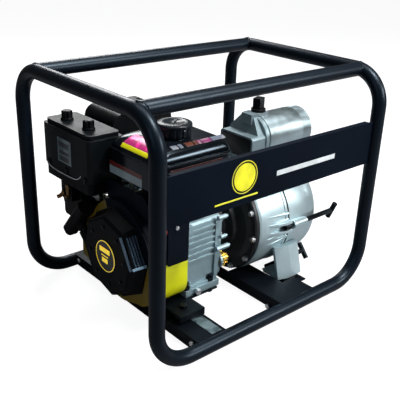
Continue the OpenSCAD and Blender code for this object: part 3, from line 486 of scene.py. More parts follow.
def cord(name, colour):
    """Braided cord: crossing strands and a pale tracer."""
    s = Surface(name, colour, 0.0, 0.85)
    wave = {"Vector": s.where, "Scale": 260.0, "Distortion": 1.5}
    strands = s.make("ShaderNodeTexWave", wave).outputs["Fac"]
    s.colour = s.blend(s.ramp(strands, 0.7, 0.95), s.colour, (0.30, 0.29, 0.27))
    s.vary(0.4, 60).smudge(0.05).relief(strands, 0.5)
    s.done(Sheen_Weight=0.4)


def foam(name, colour):
    """Open-cell filter foam with oiled pores."""
    s = Surface(name, colour, 0.0, 0.95)
    pores = s.cells(700.0)
    s.colour = s.blend(s.ramp(pores, 0.1, 0.5), (0.18, 0.13, 0.05), s.colour)
    s.vary(0.3).smudge(0.03).relief(pores, 0.6)
    s.done()


def glazed(name, colour):
    """Glazed ceramic."""
    s = Surface(name, colour, 0.0, 0.18)
    s.vary(0.08, 30).smudge(0.06).dirt_and_shade((0.2, 0.14, 0.08), 0.5).relief(s.noise(200, 2), 0.02)
    s.done(Coat_Weight=0.6)


def film(name, colour, mark=None, rough=0.32, glow=0.0):
    """Printed vinyl: a glossy film with faint creases, faded patches and worn rims. A glow above zero is
    painted light: the film gives off light of its own.
    """
    s = Surface(name, colour, 0.0, rough)
    if mark:
        s.colour = s.blend(s.ramp(s.noise(45, 1), 0.47, 0.53), s.colour, mark)
    s.vary(0.25, 40).smudge(0.08, 60).edges((0.5, 0.5, 0.48), 0.4)
    s.relief(s.noise(90, 3), 0.06)
    s.done(Coat_Weight=0.3, Emission_Color=s.colour, Emission_Strength=glow)


def hot_metal(name, colour, rough):
    """Heat-proof paint on steel, browned in patches."""
    s = Surface(name, colour, 0.1, rough)
    s.colour = s.blend(s.ramp(s.noise(16, 6), 0.5, 0.75), s.colour, SCORCHED)
    s.vary(0.3).smudge(0.12).edges(SCRAPED, 0.4).relief(s.noise(380, 5), 0.16)
    s.done(Specular_IOR_Level=0.12)


def black_finishes():
    """Paints, plastics and rubbers of the frame and the engine's black parts."""
    painted("frame_paint", (0.0018, 0.0036, 0.0068), 0.36, wear=0.3, peel=0.03)
    painted("panel_paint", (0.0018, 0.0038, 0.0085), 0.6, wear=0.3, peel=0.05, gloss=0.05)
    painted("bracket_paint", (0.002, 0.003, 0.005), 0.5, wear=0.4, gloss=0.12)
    painted("black_steel", (0.003, 0.004, 0.005), 0.34)
    painted("rocker_paint", (0.004, 0.005, 0.006), 0.40, dust=0.02)
    painted("tank_paint", (0.0022, 0.0035, 0.0055), 0.18, peel=0.02, wear=0.3, dust=0.01, gloss=0.3)
    hot_metal("muffler_steel", (0.003, 0.0035, 0.004), 0.50)
    hot_metal("guard_paint", (0.002, 0.003, 0.004), 0.46)
    moulded("recoil_black", (0.002, 0.0026, 0.004), 0.5, gloss=0.10)
    moulded("grip_rubber", (0.003, 0.003, 0.004), 0.55, grain=0.15, dust=0.02, gloss=0.1)
    moulded("cap_plastic", (0.006, 0.009, 0.012), 0.26, dust=0.02)
    moulded("airbox_base", (0.0015, 0.002, 0.003), 0.5, grain=0.08, gloss=0.10)
    moulded("airbox_cover", (0.003, 0.0045, 0.006), 0.45, grain=0.08, gloss=0.14)
    moulded("knob_plastic", (0.003, 0.004, 0.005), 0.45, gloss=0.15)
    moulded("switch_plastic", (0.0022, 0.0042, 0.009), 0.55, gloss=0.06)
    moulded("plug_black", (0.003, 0.004, 0.005), 0.34)
    rubber("mount_rubber", (0.005, 0.005, 0.006))
    rubber("boot_rubber", (0.004, 0.004, 0.005))
    rubber("seal_rubber", (0.016, 0.016, 0.016))


def coloured_finishes():
    """The few coloured or pale non-metal parts."""
    # The fan shield's mustard is painted shade on the sides that do not face the near side.
    blower_paint("blower_yellow", (0.74, 0.76, 0.008), (0.20, 0.13, 0.008))
    moulded("switch_red", (0.16, 0.01, 0.01), 0.35, dust=0.12)
    moulded("reel_plastic", (0.16, 0.17, 0.18), 0.50, dust=0.12)
    # Louvre colours: painted reflection on the slats and painted highlight on the rims.
    moulded("louvre_painted_sheen", (0.06, 0.10, 0.15), 0.30, dust=0.12)
    moulded("louvre_painted_highlight", (0.16, 0.25, 0.34), 0.34, dust=0.12)
    glazed("plug_ceramic", (0.80, 0.79, 0.75))
    cord("rope_cord", (0.05, 0.05, 0.055))
    foam("filter_foam", (0.50, 0.38, 0.12))


def metal_finishes():
    """Castings and bare metals."""
    cast_metal("block_casting", (0.27, 0.38, 0.42), 0.42, grain=0.12, metallic=0.5, dirt_and_shade=0.7, rub=0.3)
    cast_metal("cover_casting", (0.29, 0.40, 0.44), 0.40, grain=0.12, metallic=0.5, dirt_and_shade=0.7, rub=0.3)
    cast_metal("head_casting", (0.34, 0.36, 0.37), 0.50)
    cast_metal("rod_alloy", (0.50, 0.52, 0.54), 0.45, metallic=0.9, dirt_and_shade=0.3)
    cast_metal("flywheel_alloy", (0.32, 0.34, 0.36), 0.50, metallic=0.8)
    cast_metal("carb_alloy", (0.42, 0.43, 0.42), 0.38, grain=0.12, metallic=0.85)
    cast_metal("adapter_paint", (0.0035, 0.0055, 0.008), 0.42, grain=0.1, metallic=0.0, rub=0.3)
    cast_metal("pump_silver", (0.50, 0.64, 0.68), 0.34, grain=0.05, dirt_and_shade=0.4, rub=0.4)
    cast_metal("pump_front_silver", (0.52, 0.66, 0.70), 0.32, grain=0.05, dirt_and_shade=0.4, rub=0.4)
    cast_metal("cast_iron_parts", (0.15, 0.15, 0.155), 0.60, grain=0.4, metallic=0.8)
    cast_metal("elbow_casting", (0.24, 0.32, 0.35), 0.36, grain=0.08, metallic=0.6, rub=0.5)
    bare_metal("zinc_fastener", (0.66, 0.68, 0.70), 0.30)
    bare_metal("machined_steel", (0.50, 0.51, 0.53), 0.26)
    bare_metal("piston_alloy", (0.62, 0.63, 0.65), 0.30)
    bare_metal("lever_brass", (0.40, 0.24, 0.08), 0.36)
    bare_metal("lever_zinc", (0.52, 0.53, 0.52), 0.34)
    bare_metal("oil_cap_gold", (0.78, 0.52, 0.10), 0.24, dirt=0.5)
    bare_metal("seal_steel", (0.40, 0.40, 0.42), 0.22)
    bare_metal("pipe_casting", (0.42, 0.52, 0.55), 0.36, dirt=0.2)


def films():
    """Blank stickers. The ones for the tank's near shoulder are darkened copies of their colours: painted
    shade.
    """
    film("yellow_film", (0.76, 0.72, 0.006))
    # Painted light: the gold foil of the badge's rim and bars glows.
    film("gold_foil", (0.84, 0.60, 0.04), rough=0.25, glow=0.7)
    # Painted shade: darkened pink, white, orange and red for the tank's near shoulder.
    film("pink_painted_shade", (0.20, 0.02, 0.11), mark=(0.30, 0.16, 0.22))
    film("white_painted_shade", (0.13, 0.15, 0.20), mark=(0.25, 0.26, 0.30))
    film("orange_painted_shade", (0.10, 0.022, 0.008))
    film("red_painted_shade", (0.06, 0.007, 0.004))
    # Painted light: the pink film glows faintly.
    film("pink_film", (0.72, 0.02, 0.24), mark=(0.36, 0.01, 0.12), glow=0.06)
    film("red_film", (0.13, 0.012, 0.008))
    film("white_film", (0.26, 0.33, 0.35))
    film("grey_film", (0.09, 0.13, 0.14), mark=(0.15, 0.20, 0.21))
    film("pale_film", (0.60, 0.64, 0.66))
    film("plate_film", (0.030, 0.050, 0.056), mark=(0.09, 0.13, 0.14))
    film("dark_film", (0.018, 0.026, 0.030))
    film("black_film", (0.006, 0.006, 0.006), rough=0.25)


def dress_cad_nodes():
    """Gives every CAD node the finish of its slot in the record. The mount bolts are blacked."""
    for part in frame["record"]["subparts"]:
        dress(frame["nodes"][part["node"]], part["material_slot"])
    dress(frame["nodes"]["mount_bolts"], "black_steel")


# ---------- fuel tank ----------

NECK_RISE = 6 * MM
SEAM_DROP = 26 * MM
SHELL = 3 * MM
TANK_TOP = TANK_HI.z - NECK_RISE
SEAM_Z = TANK_TOP - SEAM_DROP
SHOULDER_Z = SEAM_Z + 2.5 * MM
SHOULDER_RISE = TANK_TOP - SHOULDER_Z
# how far the rounded shoulder reaches in from the recoil side, the pump side and the other two
REACH_BACK, REACH_FRONT, REACH_SIDE = 46 * MM, 26 * MM, 24 * MM


def tank_ring(inset, z, r):
    """Outline of the tank drawn in from its box. Inset and corner radius are in millimetres."""
    gap = inset * MM
    return rounded_ring(TANK_LO.x + gap, TANK_HI.x - gap, TANK_LO.y + gap, TANK_HI.y - gap, r * MM, z)


def shoulder_ring(t):
    """Outline of the tank's upper shell at angle t of its rounded shoulder."""
    left = 1 - math.cos(t)
    return rounded_ring(
        TANK_LO.x + SHELL + REACH_BACK * left,
        TANK_HI.x - SHELL - REACH_FRONT * left,
        TANK_LO.y + SHELL + REACH_SIDE * left,
        TANK_HI.y - SHELL - REACH_SIDE * left,
        (14 + 14 * left) * MM,
        SHOULDER_Z + SHOULDER_RISE * math.sin(t),
    )


def shoulder_arc(t, reach):
    """Depth in from the side, height, and outward slope of the shoulder at angle t."""
    depth = SHELL + reach * (1 - math.cos(t))
    height = SHOULDER_Z + SHOULDER_RISE * math.sin(t)
    slope = Vector((-SHOULDER_RISE * math.cos(t), reach * math.sin(t))).normalized()
    return depth, height, slope


def back_shoulder(t, y):
    """Surface of the shoulder on the recoil side."""
    depth, height, slope = shoulder_arc(t, REACH_BACK)
    return Vector((TANK_LO.x + depth, y, height)), Vector((slope.x, 0, slope.y))


def near_shoulder(t, x):
    """Surface of the shoulder on the near side."""
    depth, height, slope = shoulder_arc(t, REACH_SIDE)
    return Vector((x, TANK_LO.y + depth, height)), Vector((0, slope.x, slope.y))


def fuel_tank():
    """Pressed steel tank: rounded floor, rolled seam and a domed upper shell."""
    floor_r = 9
    rolled_seam = ((3, -3.2), (1.2, -2.6), (0.2, -1.4), (0, 0), (0.2, 1.4), (1.2, 2.2))
    rings = []
    for i in range(7):
        a = math.radians(90 * i / 6)
        inset = 3 + floor_r * (1 - math.sin(a))
        rings.append(tank_ring(inset, TANK_LO.z + floor_r * MM * (1 - math.cos(a)), 12))
    for inset, rise in rolled_seam:
        rings.append(tank_ring(inset, SEAM_Z + rise * MM, 16 - inset))
    for i in range(15):
        rings.append(shoulder_ring(math.radians(90 * i / 14)))
    shell = loft("fuel_tank_shell", rings, ROOT, "tank_paint", sharp=40)
    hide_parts("fuel_tank")


def filler_neck():
    """Short neck with a flared foot, under the cap."""
    cap = middle("fuel_cap")
    section = [(0, 27), (1.2, 26), (2, 24.5), (6, 24), (6, 20), (-4, 20), (-4, 27)]
    revolve("fuel_filler_neck", section, (cap.x, cap.y, TANK_TOP), (0, 0, 1), ROOT, "tank_paint")


def tank_sticker(name, surface, u_range, v_range, finish):
    """One thin blank sticker on the tank."""
    dress(patch(name, surface, u_range, v_range, ROOT, "tank_paint", steps=(8, 6)), finish)


def tank_labels():
    """Blank coloured stickers on the tank's recoil side and near side."""
    back = flat((TANK_LO.x + SHELL, 0, 0), (0, 1, 0), (0, 0, 1), (-1, 0, 0))
    near = flat((0, TANK_LO.y + SHELL, 0), (1, 0, 0), (0, 0, 1), (0, -1, 0))
    stripe = span(31, -66)
    steep, middling = (math.radians(16), math.radians(33)), (math.radians(34), math.radians(76))
    level, near_band = (math.radians(77), math.radians(86)), (math.radians(84), math.radians(58))
    # The near row takes the darkened colours with painted shade.
    near_row = (
        (-64, -34, "white_painted_shade"),
        (-86, -66, "pink_painted_shade"),
        (-95, -88, "pink_painted_shade"),
        (-103, -97, "orange_painted_shade"),
        (-122, -106, "orange_painted_shade"),
        (-136, -129, "white_painted_shade"),
        (-152, -139, "white_painted_shade"),
    )
    tank_sticker("tank_stripe_red", back, stripe, span(289, 297), "red_film")
    tank_sticker("tank_stripe_white", back, stripe, span(274, 288.6), "white_film")
    tank_sticker("tank_label_pink", back_shoulder, middling, span(-74, -2), "pink_film")
    tank_sticker("tank_label_yellow", back_shoulder, steep, span(-78, -1), "yellow_film")
    # Its red is darkened with painted shade.
    tank_sticker("tank_near_stripe", near, span(-50, -166), span(305, 313), "red_painted_shade")
    for k, (x0, x1, finish) in enumerate(near_row):
        tank_sticker(f"tank_near_label_{k}", near_shoulder, near_band, span(x0, x1), finish)
    tank_sticker("tank_label_white", back_shoulder, level, span(-66, -40), "white_film")


# ---------- recoil starter ----------

HUB = Vector((RECOIL_LO.x, SHAFT.y, SHAFT.z))
REARWARD = (-1, 0, 0)
# the louvres lie on the cover's near upper facet, which is turned about the shaft and slopes back
LOUVRE_TURN = Matrix.Rotation(math.radians(60), 3, "X")
LOUVRE_TILT = LOUVRE_TURN @ Matrix.Rotation(math.radians(-18), 3, "Y")


def recoil_badge():
    """Round domed badge with a gold rim and three plain bars in place of printing."""
    dome = [(0, 0.01), (0, 31), (1.2, 31), (1.9, 30.2), (2.3, 27), (2.7, 20), (3.0, 10), (3.05, 0.01)]
    rim = [(1.5, 28.9), (1.5, 30.4), (2.3, 30.2), (2.7, 29.6), (2.6, 28.9)]
    bars = ((12, 32, 9), (1, 22, 2), (-8, 18, 9))
    dress(revolve("recoil_badge", dome, HUB, REARWARD, ROOT, "recoil_black"), "black_film")
    # Painted light: the gold foil glows.
    dress(revolve("recoil_badge_ring", rim, HUB, REARWARD, ROOT, "recoil_black"), "gold_foil")
    for k, (rise, wide, tall) in enumerate(bars):
        spot = HUB + mm(-2.95, 0, rise)
        bar = slab(f"recoil_badge_mark_{k}", spot, (0.9, wide, tall), ROOT, "recoil_black", edge=0.2)
        dress(bar, "gold_foil")


def recoil_louvres():
    """Slats of the air intake, with a rim below them and one in front. The blue-grey of the slats is painted
    reflection and the pale blue of the rims is painted highlight, on black plastic.
    """
    for k in range(4):
        back = 8.2 + 5 * k
        lift = 73.6 + 7 * (back - 4) / 22
        spot = HUB + mm(back, 0, 0) + LOUVRE_TURN @ mm(0, -6, lift)
        blade = slab(f"recoil_louvre_{k}", spot, (2.6, 54, 2.4), ROOT, "recoil_black", LOUVRE_TILT)
        dress(blade, "louvre_painted_sheen")
    spot = HUB + mm(13, 0, 0) + LOUVRE_TURN @ mm(0, -36, 78)
    rim = slab("recoil_louvre_rim_low", spot, (27, 5, 2.4), ROOT, "recoil_black", LOUVRE_TILT)
    dress(rim, "louvre_painted_highlight")
    spot = HUB + LOUVRE_TURN @ mm(0, -6, 68.5)
    rim = slab("recoil_louvre_rim_front", spot, (2, 62, 7), ROOT, "recoil_black", LOUVRE_TURN)
    dress(rim, "louvre_painted_highlight")


def recoil_screws():
    """Pan-head screws in a circle around the badge."""
    count, circle_r = 8, 55
    head = [(0, 0.01), (0, 3.6), (1.6, 3.6), (2.2, 2.8), (2.2, 0.01)]
    for k in range(count):
        a = math.radians(37.5 + 360 * k / count)
        spot = HUB + mm(0.1, circle_r * math.cos(a), circle_r * math.sin(a))
        revolve(f"recoil_screw_{k}", head, spot, REARWARD, ROOT, "black_steel", 20)


def shroud_lip():
    """Black lip that closes the gap between the recoil cover and the shield, on the near upper side."""
    x0, x1 = RECOIL_HI.x - 2.4 * MM, RECOIL_HI.x - 0.1 * MM
    inner, outer, rounding = 79, 100.8, 1.3
    section = ((x0, inner), (x0, outer - rounding), (x0 + 0.8 * MM, outer), (x1, outer), (x1, inner))
    first, sweep_angle, steps = 66, 110, 40
    rings = []
    for i in range(steps + 1):
        a = math.radians(first + sweep_angle * i / steps)
        out = Vector((0, math.cos(a), math.sin(a)))
        rings.append([Vector((x, SHAFT.y, SHAFT.z)) + out * r * MM for x, r in section])
    loft("shroud_lip", rings, ROOT, "switch_plastic")


def painted_shade_apron():
    """Black sheet between the top of the fan shield and the tank: painted shade under the tank."""
    thick = 1.6
    outline = ((-96, 216), (-60, 226), (-10, 231), (34, 222), (40, 236), (40, 261), (-70, 261), (-96, 240))
    rings = []
    for depth in (1, 1 + thick):
        rings.append([Vector((TANK_LO.x + depth * MM, y * MM, z * MM)) for y, z in outline])
    loft("painted_shade_apron", rings, ROOT, "switch_plastic")


def starter_cord():
    """Braided cord that stretches from the housing to the grip."""
    lo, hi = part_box("starter_rope")
    x = middle("starter_rope").x
    a = Vector((x, lo.y + 1.6 * MM, lo.z + 1.8 * MM))
    b = Vector((x, hi.y - 1.6 * MM, hi.z - 1.8 * MM))
    steps = 60
    path = [a + (b - a) * i / steps for i in range(steps + 1)]
    rope = sweep("starter_cord", path, 2.1 * MM, None, "rope_cord", sides=14)
    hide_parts("starter_rope")
    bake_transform(rope)


# ---------- fuel cap, air cleaner and fuel system ----------

def cap_ring(foot, z, r, flute_depth):
    """One ring of the cap, z above its foot, with grip flutes cut into the skirt."""
    sides, flutes = 144, 18
    ring = []
    for i in range(sides):
        a = 2 * math.pi * i / sides
        radius = r - flute_depth * max(0.0, math.cos(flutes * a)) ** 0.6
        ring.append(foot + mm(radius * math.cos(a), radius * math.sin(a), z))
    return ring


def fuel_cap():
    """Screw cap: a broad domed top over a fluted skirt, hollow underneath, with a grip bar."""
    centre = middle("fuel_cap")
    foot = Vector((centre.x, centre.y, CAP_LO.z))
    skirt = [(0, 29.4), (1.5, 30.2), (13, 30.2), (15, 29.4)]
    dome = [(15.4, 29), (16, 31.2), (17, 32), (20.5, 32), (22, 31.4), (23.2, 29.5), (24, 25)]
    dome += [(24.4, 16), (23.2, 14.5), (23.1, 0.01)]
    inside = [(17, 0.01), (17, 24.3), (0.01, 24.3)]
    rings = [cap_ring(foot, 0, 26, 0)]
    rings += [cap_ring(foot, z, r, 1.9) for z, r in skirt]
    rings += [cap_ring(foot, z, r, 0) for z, r in dome + inside]
    cap = loft("fuel_cap_body", rings, "tank_cap", "cap_plastic", closed=True, sharp=50)
    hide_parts("fuel_cap")
    turn = Matrix.Rotation(math.radians(35), 3, "Z")
    slab("fuel_cap_grip", foot + mm(0, 0, 23.6), (24, 5, 2.2), "tank_cap", "cap_plastic", turn)


def cleaner_label():
    """Blank label with three dark blocks, on the rear face of the air cleaner's cover."""
    face = flat((AIR_LO.x, 0, 0), (0, 1, 0), (0, 0, 1), (-1, 0, 0))
    proud = flat((AIR_LO.x - 0.3 * MM, 0, 0), (0, 1, 0), (0, 0, 1), (-1, 0, 0))
    label = patch("cleaner_label", face, span(147, 99), span(270, 317), ROOT, "airbox_cover")
    dress(label, "grey_film")
    for k, (z0, z1) in enumerate(((273, 283), (286, 293), (300, 309))):
        block = patch(f"cleaner_label_block_{k}", proud, span(142, 108), span(z0, z1), ROOT, "airbox_cover")
        dress(block, "dark_film")


def cleaner_clip():
    """Spring wire across the lower edge of the cover."""
    bends = ((1.5, 189, 262), (-1.5, 186, 257), (-2.5, 170, 250), (-2.5, 120, 249))
    bends += ((-2.5, 82, 252), (-1.5, 70, 258), (1.5, 68, 263))
    path = smooth_path([Vector((AIR_LO.x, 0, 0)) + mm(*p) for p in bends])
    dress(sweep("cleaner_wire_clip", path, 0.9 * MM, ROOT, "lever_zinc", sides=10), "pale_film")


def cleaner_lugs():
    """Lugs along the foot of the cover."""
    for k, y in enumerate((52, 118, 184)):
        spot = Vector((AIR_LO.x - 0.5 * MM, y * MM, AIR_LO.z + 3 * MM))
        slab(f"cleaner_lug_{k}", spot, (4, 9, 12), ROOT, "airbox_cover", edge=0.9)


def hoses_and_leads():
    """Fuel hose from the tank to the carburettor, and the spark plug's lead."""
    bends = ((-150, 20, 268), (-150, 24, 250), (-146, 60, 232), (-136, 100, 236), (-134, 112, 222))
    path = smooth_path([mm(*p) for p in bends])
    sweep("fuel_hose", path, 3.6 * MM, ROOT, "boot_rubber", sides=14)
    cap = middle("plug_cap")
    bends = ((0, 0, 0), (8, 6, 14), (-20, -4, 26), (-52, -40, 10))
    path = smooth_path([cap + mm(*p) for p in bends])
    sweep("spark_lead", path, 3.2 * MM, ROOT, "boot_rubber", sides=14)


def governor_spring():
    """Coil spring with straight ends, between the speed lever and the carburettor."""
    start, end = mm(-190.5, 92, 222), mm(-150, 100, 226)
    turns, per_turn = 9, 12
    coil_r, tail = 3.0 * MM, 5 * MM
    along = end - start
    d = along.normalized()
    side, up = frame_axes(d)
    path = [start - d * tail]
    for i in range(turns * per_turn + 1):
        t = i / (turns * per_turn)
        a = 2 * math.pi * turns * t
        path.append(start + along * t + (side * math.cos(a) + up * math.sin(a)) * coil_r)
    path.append(end + d * tail)
    sweep("governor_spring", path, 0.55 * MM, ROOT, "lever_zinc", sides=8)


# ---------- pump ----------

THREAD_PITCH = 2.31 * MM
THREAD_DEPTH = 1.0 * MM
THREAD_LENGTH = 26 * MM
THREAD_CREST = PORT_R + 0.65 * MM
THREAD_BORE = PORT_R - 1.5 * MM
PIPE_AXIS = Vector((0, (PIPE_LO.y + PIPE_HI.y) / 2, PIPE_LO.z + PORT_R + 0.9 * MM))


def thread_ring(x, x0, x1, steps):
    """One ring of a thread that runs from x0 to x1: a helical groove that fades out at both ends."""
    full = max(0, min(1.0, (x1 - x) / (2 * MM), (x - x0) / (1 * MM)))
    ring = []
    for i in range(steps):
        a = 2 * math.pi * i / steps
        phase = (x / THREAD_PITCH - a / (2 * math.pi)) % 1.0
        groove = THREAD_DEPTH * (1 - abs(2 * phase - 1))
        r = THREAD_CREST - groove * full - (1 - full) * THREAD_DEPTH * 0.9
        ring.append(Vector((x, r * math.cos(a), r * math.sin(a))))
    return ring


def port_thread(name, end, axis, body, slot):
    """Threaded sleeve with a plain bore, around an axis along X, at the open end of a hose port."""
    steps = 56
    x1 = end + 0.1 * MM
    x0 = x1 - THREAD_LENGTH
    rows = int((x1 - x0) / (THREAD_PITCH / 6))
    rings = [thread_ring(x0 + (x1 - x0) * k / rows, x0, x1, steps) for k in range(rows + 1)]
    across, up = Vector((0, 1, 0)), Vector((0, 0, 1))
    rings += [circle(Vector((x, 0, 0)), across, up, THREAD_BORE, steps) for x in (x1, x0)]
    rings = [[p + axis for p in ring] for ring in rings]
    loft(name, rings, body, slot, closed=True, sharp=25)


def port_threads():
    """Threads on the discharge pipe, which is fixed, and on the suction port, which opens with the cover."""
    port_thread("discharge_thread", PIPE_HI.x, PIPE_AXIS, ROOT, "pipe_casting")
    suction_axis = Vector((0, middle("suction_flap").y, SUCTION_Z))
    port_thread("suction_thread", COVER_HI.x, suction_axis, "cover", "pump_front_silver")


def discharge_collar():
    """Raised band near the root of the discharge pipe."""
    band = [(0, 44.6), (0, 46.2), (1, 47), (5, 47), (6, 46.2), (6, 44.6)]
    start = PIPE_AXIS + mm(139, 0, 0)
    revolve("discharge_collar", band, start, (1, 0, 0), ROOT, "pipe_casting")


def elbow_painted_shade():
    """Near-black cast end face of the discharge elbow, with a rounded raised rim: painted shade on a face
    that looks away from the lamps.
    """
    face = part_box("discharge_elbow")[0].x + 2 * MM
    bottom, top, near, far = 258, 299.5, -47, 46
    rim = 4.6
    rings = []
    for dx, inset in ((0.2, rim), (-0.9, rim + 0.2), (-1.3, rim + 0.8)):
        sides = (bottom, top - (inset - rim), near + inset, far - inset)
        outline = rounded_ring(*(s * MM for s in sides), 5 * MM, 0)
        rings.append([Vector((face + dx * MM, p.y, p.x)) for p in outline])
    loft("elbow_painted_shade", rings, ROOT, "adapter_paint")


def skin_of(node):
    """Search tree over a CAD node's faces."""
    obj = frame["nodes"][node]
    points = [obj.matrix_world @ v.co for v in obj.data.vertices]
    return BVHTree.FromPolygons(points, [tuple(p.vertices) for p in obj.data.polygons])


def fin_radius(t):
    """Half thickness of a rib, which grows towards the clamp lug."""
    return (0.7 + 1.5 * t) * MM


def lug_fins():
    """Thin ribs that run back over the drum from the near clamp lug. Rays find the drum's skin."""
    skin = skin_of("pump_casing")
    lug_x, outside, drum_only = 131, 200 * MM, 92 * MM
    for k, (angle, x0, lean) in enumerate(((166, 74, -2), (172, 80, 1), (187, 76, 1), (193, 84, 3))):
        path = []
        for i in range(15):
            t = i / 14
            a = math.radians(angle + lean * (1 - t))
            out = Vector((0, math.cos(a), math.sin(a)))
            start = Vector(((x0 + (lug_x - x0) * t) * MM, SHAFT.y, SHAFT.z)) + out * outside
            hit = skin.ray_cast(start, -out)[0]
            if hit and (hit - start).length < drum_only:
                path.append(hit + out * 0.4 * MM)
        if len(path) > 3:
            sweep(f"lug_fin_{k}", path, fin_radius, ROOT, "pump_silver", sides=10)


def joint_gasket():
    """Dark edge of the gasket between the drum and its front cover."""
    seam = Vector((COVER_LO.x, SHAFT.y, SHAFT.z))
    band = [(-1.5, 110.6), (-1.5, 114.1), (1.4, 114.1), (1.4, 110.6)]
    revolve("joint_gasket", band, seam, (1, 0, 0), ROOT, "seal_rubber", 128)


def case_bosses():
    """Round bosses with screws along the near edge of the crankcase joint."""
    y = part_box("crankcase")[0].y + 1.5 * MM
    for k, (x0, x1, z, r) in enumerate(((-44, -9, 124, 5), (-34, -18, 147, 4), (-42, -18, 188, 4.4))):
        tip = x1 - x0
        outline = [(0, 0.01), (0, r - 0.6), (0.6, r), (tip - 4, r), (tip - 3.4, r - 0.6)]
        outline += [(tip - 3.4, 2.9), (tip - 0.5, 2.9), (tip, 2.3), (tip, 0.01)]
        boss = revolve(f"case_boss_{k}", outline, (x0 * MM, y, z * MM), (1, 0, 0), ROOT, "block_casting", 24)
        dress(boss, "cover_casting")


def plate_washers():
    """Plain washers under the bolt heads on the pump's back plate."""
    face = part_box("pump_adapter")[1].x - 10 * MM
    count, circle_r = 12, 102 * MM
    section = [(0, 5.2), (0, 6.3), (0.7, 6.3), (0.7, 5.2)]
    for k in range(count):
        a = math.radians(5 + 360 * k / count)
        spot = (face, SHAFT.y + circle_r * math.cos(a), SHAFT.z + circle_r * math.sin(a))
        revolve(f"plate_washer_{k}", section, spot, REARWARD, ROOT, "zinc_fastener", 24)


# ---------- frame ----------

def bead_path(sx, sy, count):
    """Points where a long top rail's skin meets an end loop."""
    path = []
    for i in range(count):
        a = 2 * math.pi * i / count
        lean = math.sqrt(max(0.0, 1 - math.sin(a) ** 2))
        x = sx * (POST_X - TUBE_R * lean - 0.6 * MM)
        path.append(Vector((x, sy * RAIL_Y + TUBE_R * math.cos(a), TOP_Z + TUBE_R * math.sin(a))))
    return path


def weld_beads():
    """Rippled beads where the long top rails meet the end loops."""
    count, ripples = 96, 30
    for sx in (-1, 1):
        for sy in (-1, 1):
            rough = [random.uniform(-0.1, 0.1) * MM for _ in range(count + 1)]

            def bead_radius(t, rough=rough):
                """Thickness of the bead, with the welder's even ripples and some unevenness."""
                return (1.1 + 0.15 * math.sin(t * 2 * math.pi * ripples)) * MM + rough[int(t * count)]

            name = f"weld_bead_{'rear' if sx < 0 else 'front'}_{'near' if sy < 0 else 'far'}"
            sweep(name, bead_path(sx, sy, count), bead_radius, ROOT, "frame_paint", sides=10, closed=True)


def panel_marks():
    """Plain round sticker, line and pale bar on the sheet panel, in place of printing."""
    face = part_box("sign_panel")[0].y
    outward = (0, -1, 0)
    spot = Vector((-88 * MM, face + 0.2 * MM, 315 * MM))
    disc = [(0, 0.01), (0, 24), (0.5, 24), (0.5, 0.01)]
    ring = [(0, 27), (0, 28.6), (0.5, 28.6), (0.5, 27)]
    dress(revolve("panel_disc", disc, spot, outward, ROOT, "panel_paint", 96), "yellow_film")
    dress(revolve("panel_ring", ring, spot, outward, ROOT, "panel_paint", 96), "yellow_film")
    wall = flat((0, face, 0), (1, 0, 0), (0, 0, 1), outward)
    line = patch("panel_line", wall, span(-152, -56), span(278.5, 281.5), ROOT, "panel_paint")
    dress(line, "yellow_film")
    bar = patch("panel_bar", wall, span(-12, 142), span(300, 309), ROOT, "panel_paint")
    dress(bar, "pale_film")


def channel_bolts():
    """Hex bolts through the rear flange of each cross channel, near its ends."""
    head = [(0, 0.01), (0, 5.6), (3.2, 5.6), (3.9, 4.9), (3.9, 0.01)]
    for node, reach, drop in (("engine_channel", 188, 10), ("pump_channel", 172, 22)):
        lo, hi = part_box(node)
        for side in (-1, 1):
            spot = (lo.x + 0.1 * MM, side * reach * MM, hi.z - drop * MM)
            name = f"{node}_bolt_{'near' if side < 0 else 'far'}"
            revolve(name, head, spot, REARWARD, ROOT, "zinc_fastener", 6)


def data_plate():
    """Blank plate on the near end of the engine's channel."""
    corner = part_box("engine_channel")[1]
    deck = flat((corner.x, 0, corner.z), (1, 0, 0), (0, 1, 0), (0, 0, 1))
    across, along = span(-30, -7), span(-198, -126)
    plate = patch("channel_data_plate", deck, across, along, ROOT, "bracket_paint", thick=0.6 * MM)
    dress(plate, "plate_film")


# ---------- floor, light, camera ----------

def stage():
    """Plain floor that is as white to the camera as the backdrop, but throws little light."""
    mesh = bpy.data.meshes.new("floor")
    half = 6.0
    corners = [(-half, -half, 0), (half, -half, 0), (half, half, 0), (-half, half, 0)]
    mesh.from_pydata(corners, [], [(0, 1, 2, 3)])
    floor = bpy.data.objects.new("floor", mesh)
    bpy.context.scene.collection.objects.link(floor)
    s = Surface("floor_paper", (0.22, 0.22, 0.23), 0.0, 0.85)
    s.vary(0.02, 2).smudge(0.03, 5).relief(s.noise(300, 2), 0.02)
    seen = s.make("ShaderNodeLightPath").outputs["Is Camera Ray"]
    glow = s.math("MULTIPLY", seen, 0.92)
    s.done(Specular_IOR_Level=0.2, Emission_Color=(1, 1, 1, 1), Emission_Strength=glow)
    dress(floor, "floor_paper")


def world():
    """White to the camera, dim as a source of light, so that the side away from the lamps stays dark."""
    w = bpy.data.worlds.new("studio")
    bpy.context.scene.world = w
    w.use_nodes = True
    tree = w.node_tree
    back = tree.nodes["Background"]
    back.inputs["Color"].default_value = (1, 1, 1, 1)
    path = tree.nodes.new("ShaderNodeLightPath")
    level = tree.nodes.new("ShaderNodeMapRange")
    level.inputs["To Min"].default_value = 0.10
    level.inputs["To Max"].default_value = 1.0
    tree.links.new(path.outputs["Is Camera Ray"], level.inputs["Value"])
    tree.links.new(level.outputs[0], back.inputs["Strength"])


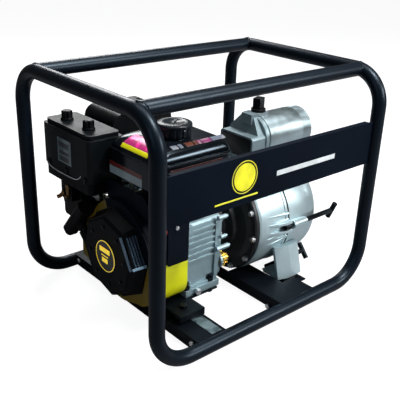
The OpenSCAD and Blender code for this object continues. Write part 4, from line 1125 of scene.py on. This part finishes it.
def lamp(name, place, size, power, colour=(1, 1, 1)):
    """Rectangular area lamp aimed at the middle of the pump set."""
    target = Vector((0, 0, 0.2))
    data = bpy.data.lights.new(name, "AREA")
    data.shape = "RECTANGLE"
    data.size, data.size_y = size
    data.energy = power
    data.color = colour
    obj = bpy.data.objects.new(name, data)
    bpy.context.scene.collection.objects.link(obj)
    obj.location = place
    obj.rotation_euler = (target - Vector(place)).to_track_quat("-Z", "Y").to_euler()


def lamps():
    """Two keys from the near front, soft fills from above and behind, and a weak cool light at the rear."""
    lamp("key_high", (0.55, -0.75, 2.0), (0.6, 0.6), 62)
    lamp("key_low", (1.2, -1.7, 1.1), (0.7, 0.5), 34)
    lamp("overhead", (0.2, 0.3, 2.2), (1.4, 0.8), 12)
    lamp("far_fill", (0.9, 1.9, 1.5), (0.9, 0.9), 26)
    lamp("cool_side", (-2.0, -0.9, 1.3), (0.3, 1.2), 5, (0.65, 0.83, 1.0))


def camera():
    """The photograph's view: from the near rear corner, above, and rolled slightly."""
    azimuth, elevation, roll = (math.radians(a) for a in (-41.344, 23.346, 1.988))
    level = math.cos(elevation)
    back = Vector((math.sin(azimuth) * level, -math.cos(azimuth) * level, math.sin(elevation)))
    right = (-back).cross(Vector((0, 0, 1))).normalized()
    up = right.cross(-back)
    turned_right = math.cos(roll) * right + math.sin(roll) * up
    turned_up = math.cos(roll) * up - math.sin(roll) * right
    place = Matrix((turned_right, turned_up, back)).transposed().to_4x4()
    place.translation = Vector((-0.7946, -0.9025, 0.6988))
    data = bpy.data.cameras.new("camera")
    data.sensor_width = 36
    data.lens = 58.95
    cam = bpy.data.objects.new("camera", data)
    bpy.context.scene.collection.objects.link(cam)
    cam.matrix_world = place
    bpy.context.scene.camera = cam


# ---------- the scene ----------

black_finishes()
coloured_finishes()
metal_finishes()
films()
dress_cad_nodes()

fuel_tank()
filler_neck()
tank_labels()
recoil_badge()
recoil_louvres()
recoil_screws()
shroud_lip()
painted_shade_apron()
fuel_cap()
starter_cord()
cleaner_label()
cleaner_clip()
cleaner_lugs()
hoses_and_leads()
governor_spring()
port_threads()
discharge_collar()
elbow_painted_shade()
lug_fins()
joint_gasket()
case_bosses()
plate_washers()
weld_beads()
panel_marks()
channel_bolts()
data_plate()

bpy.context.scene.view_settings.view_transform = "Standard"
stage()
world()
lamps()
camera()
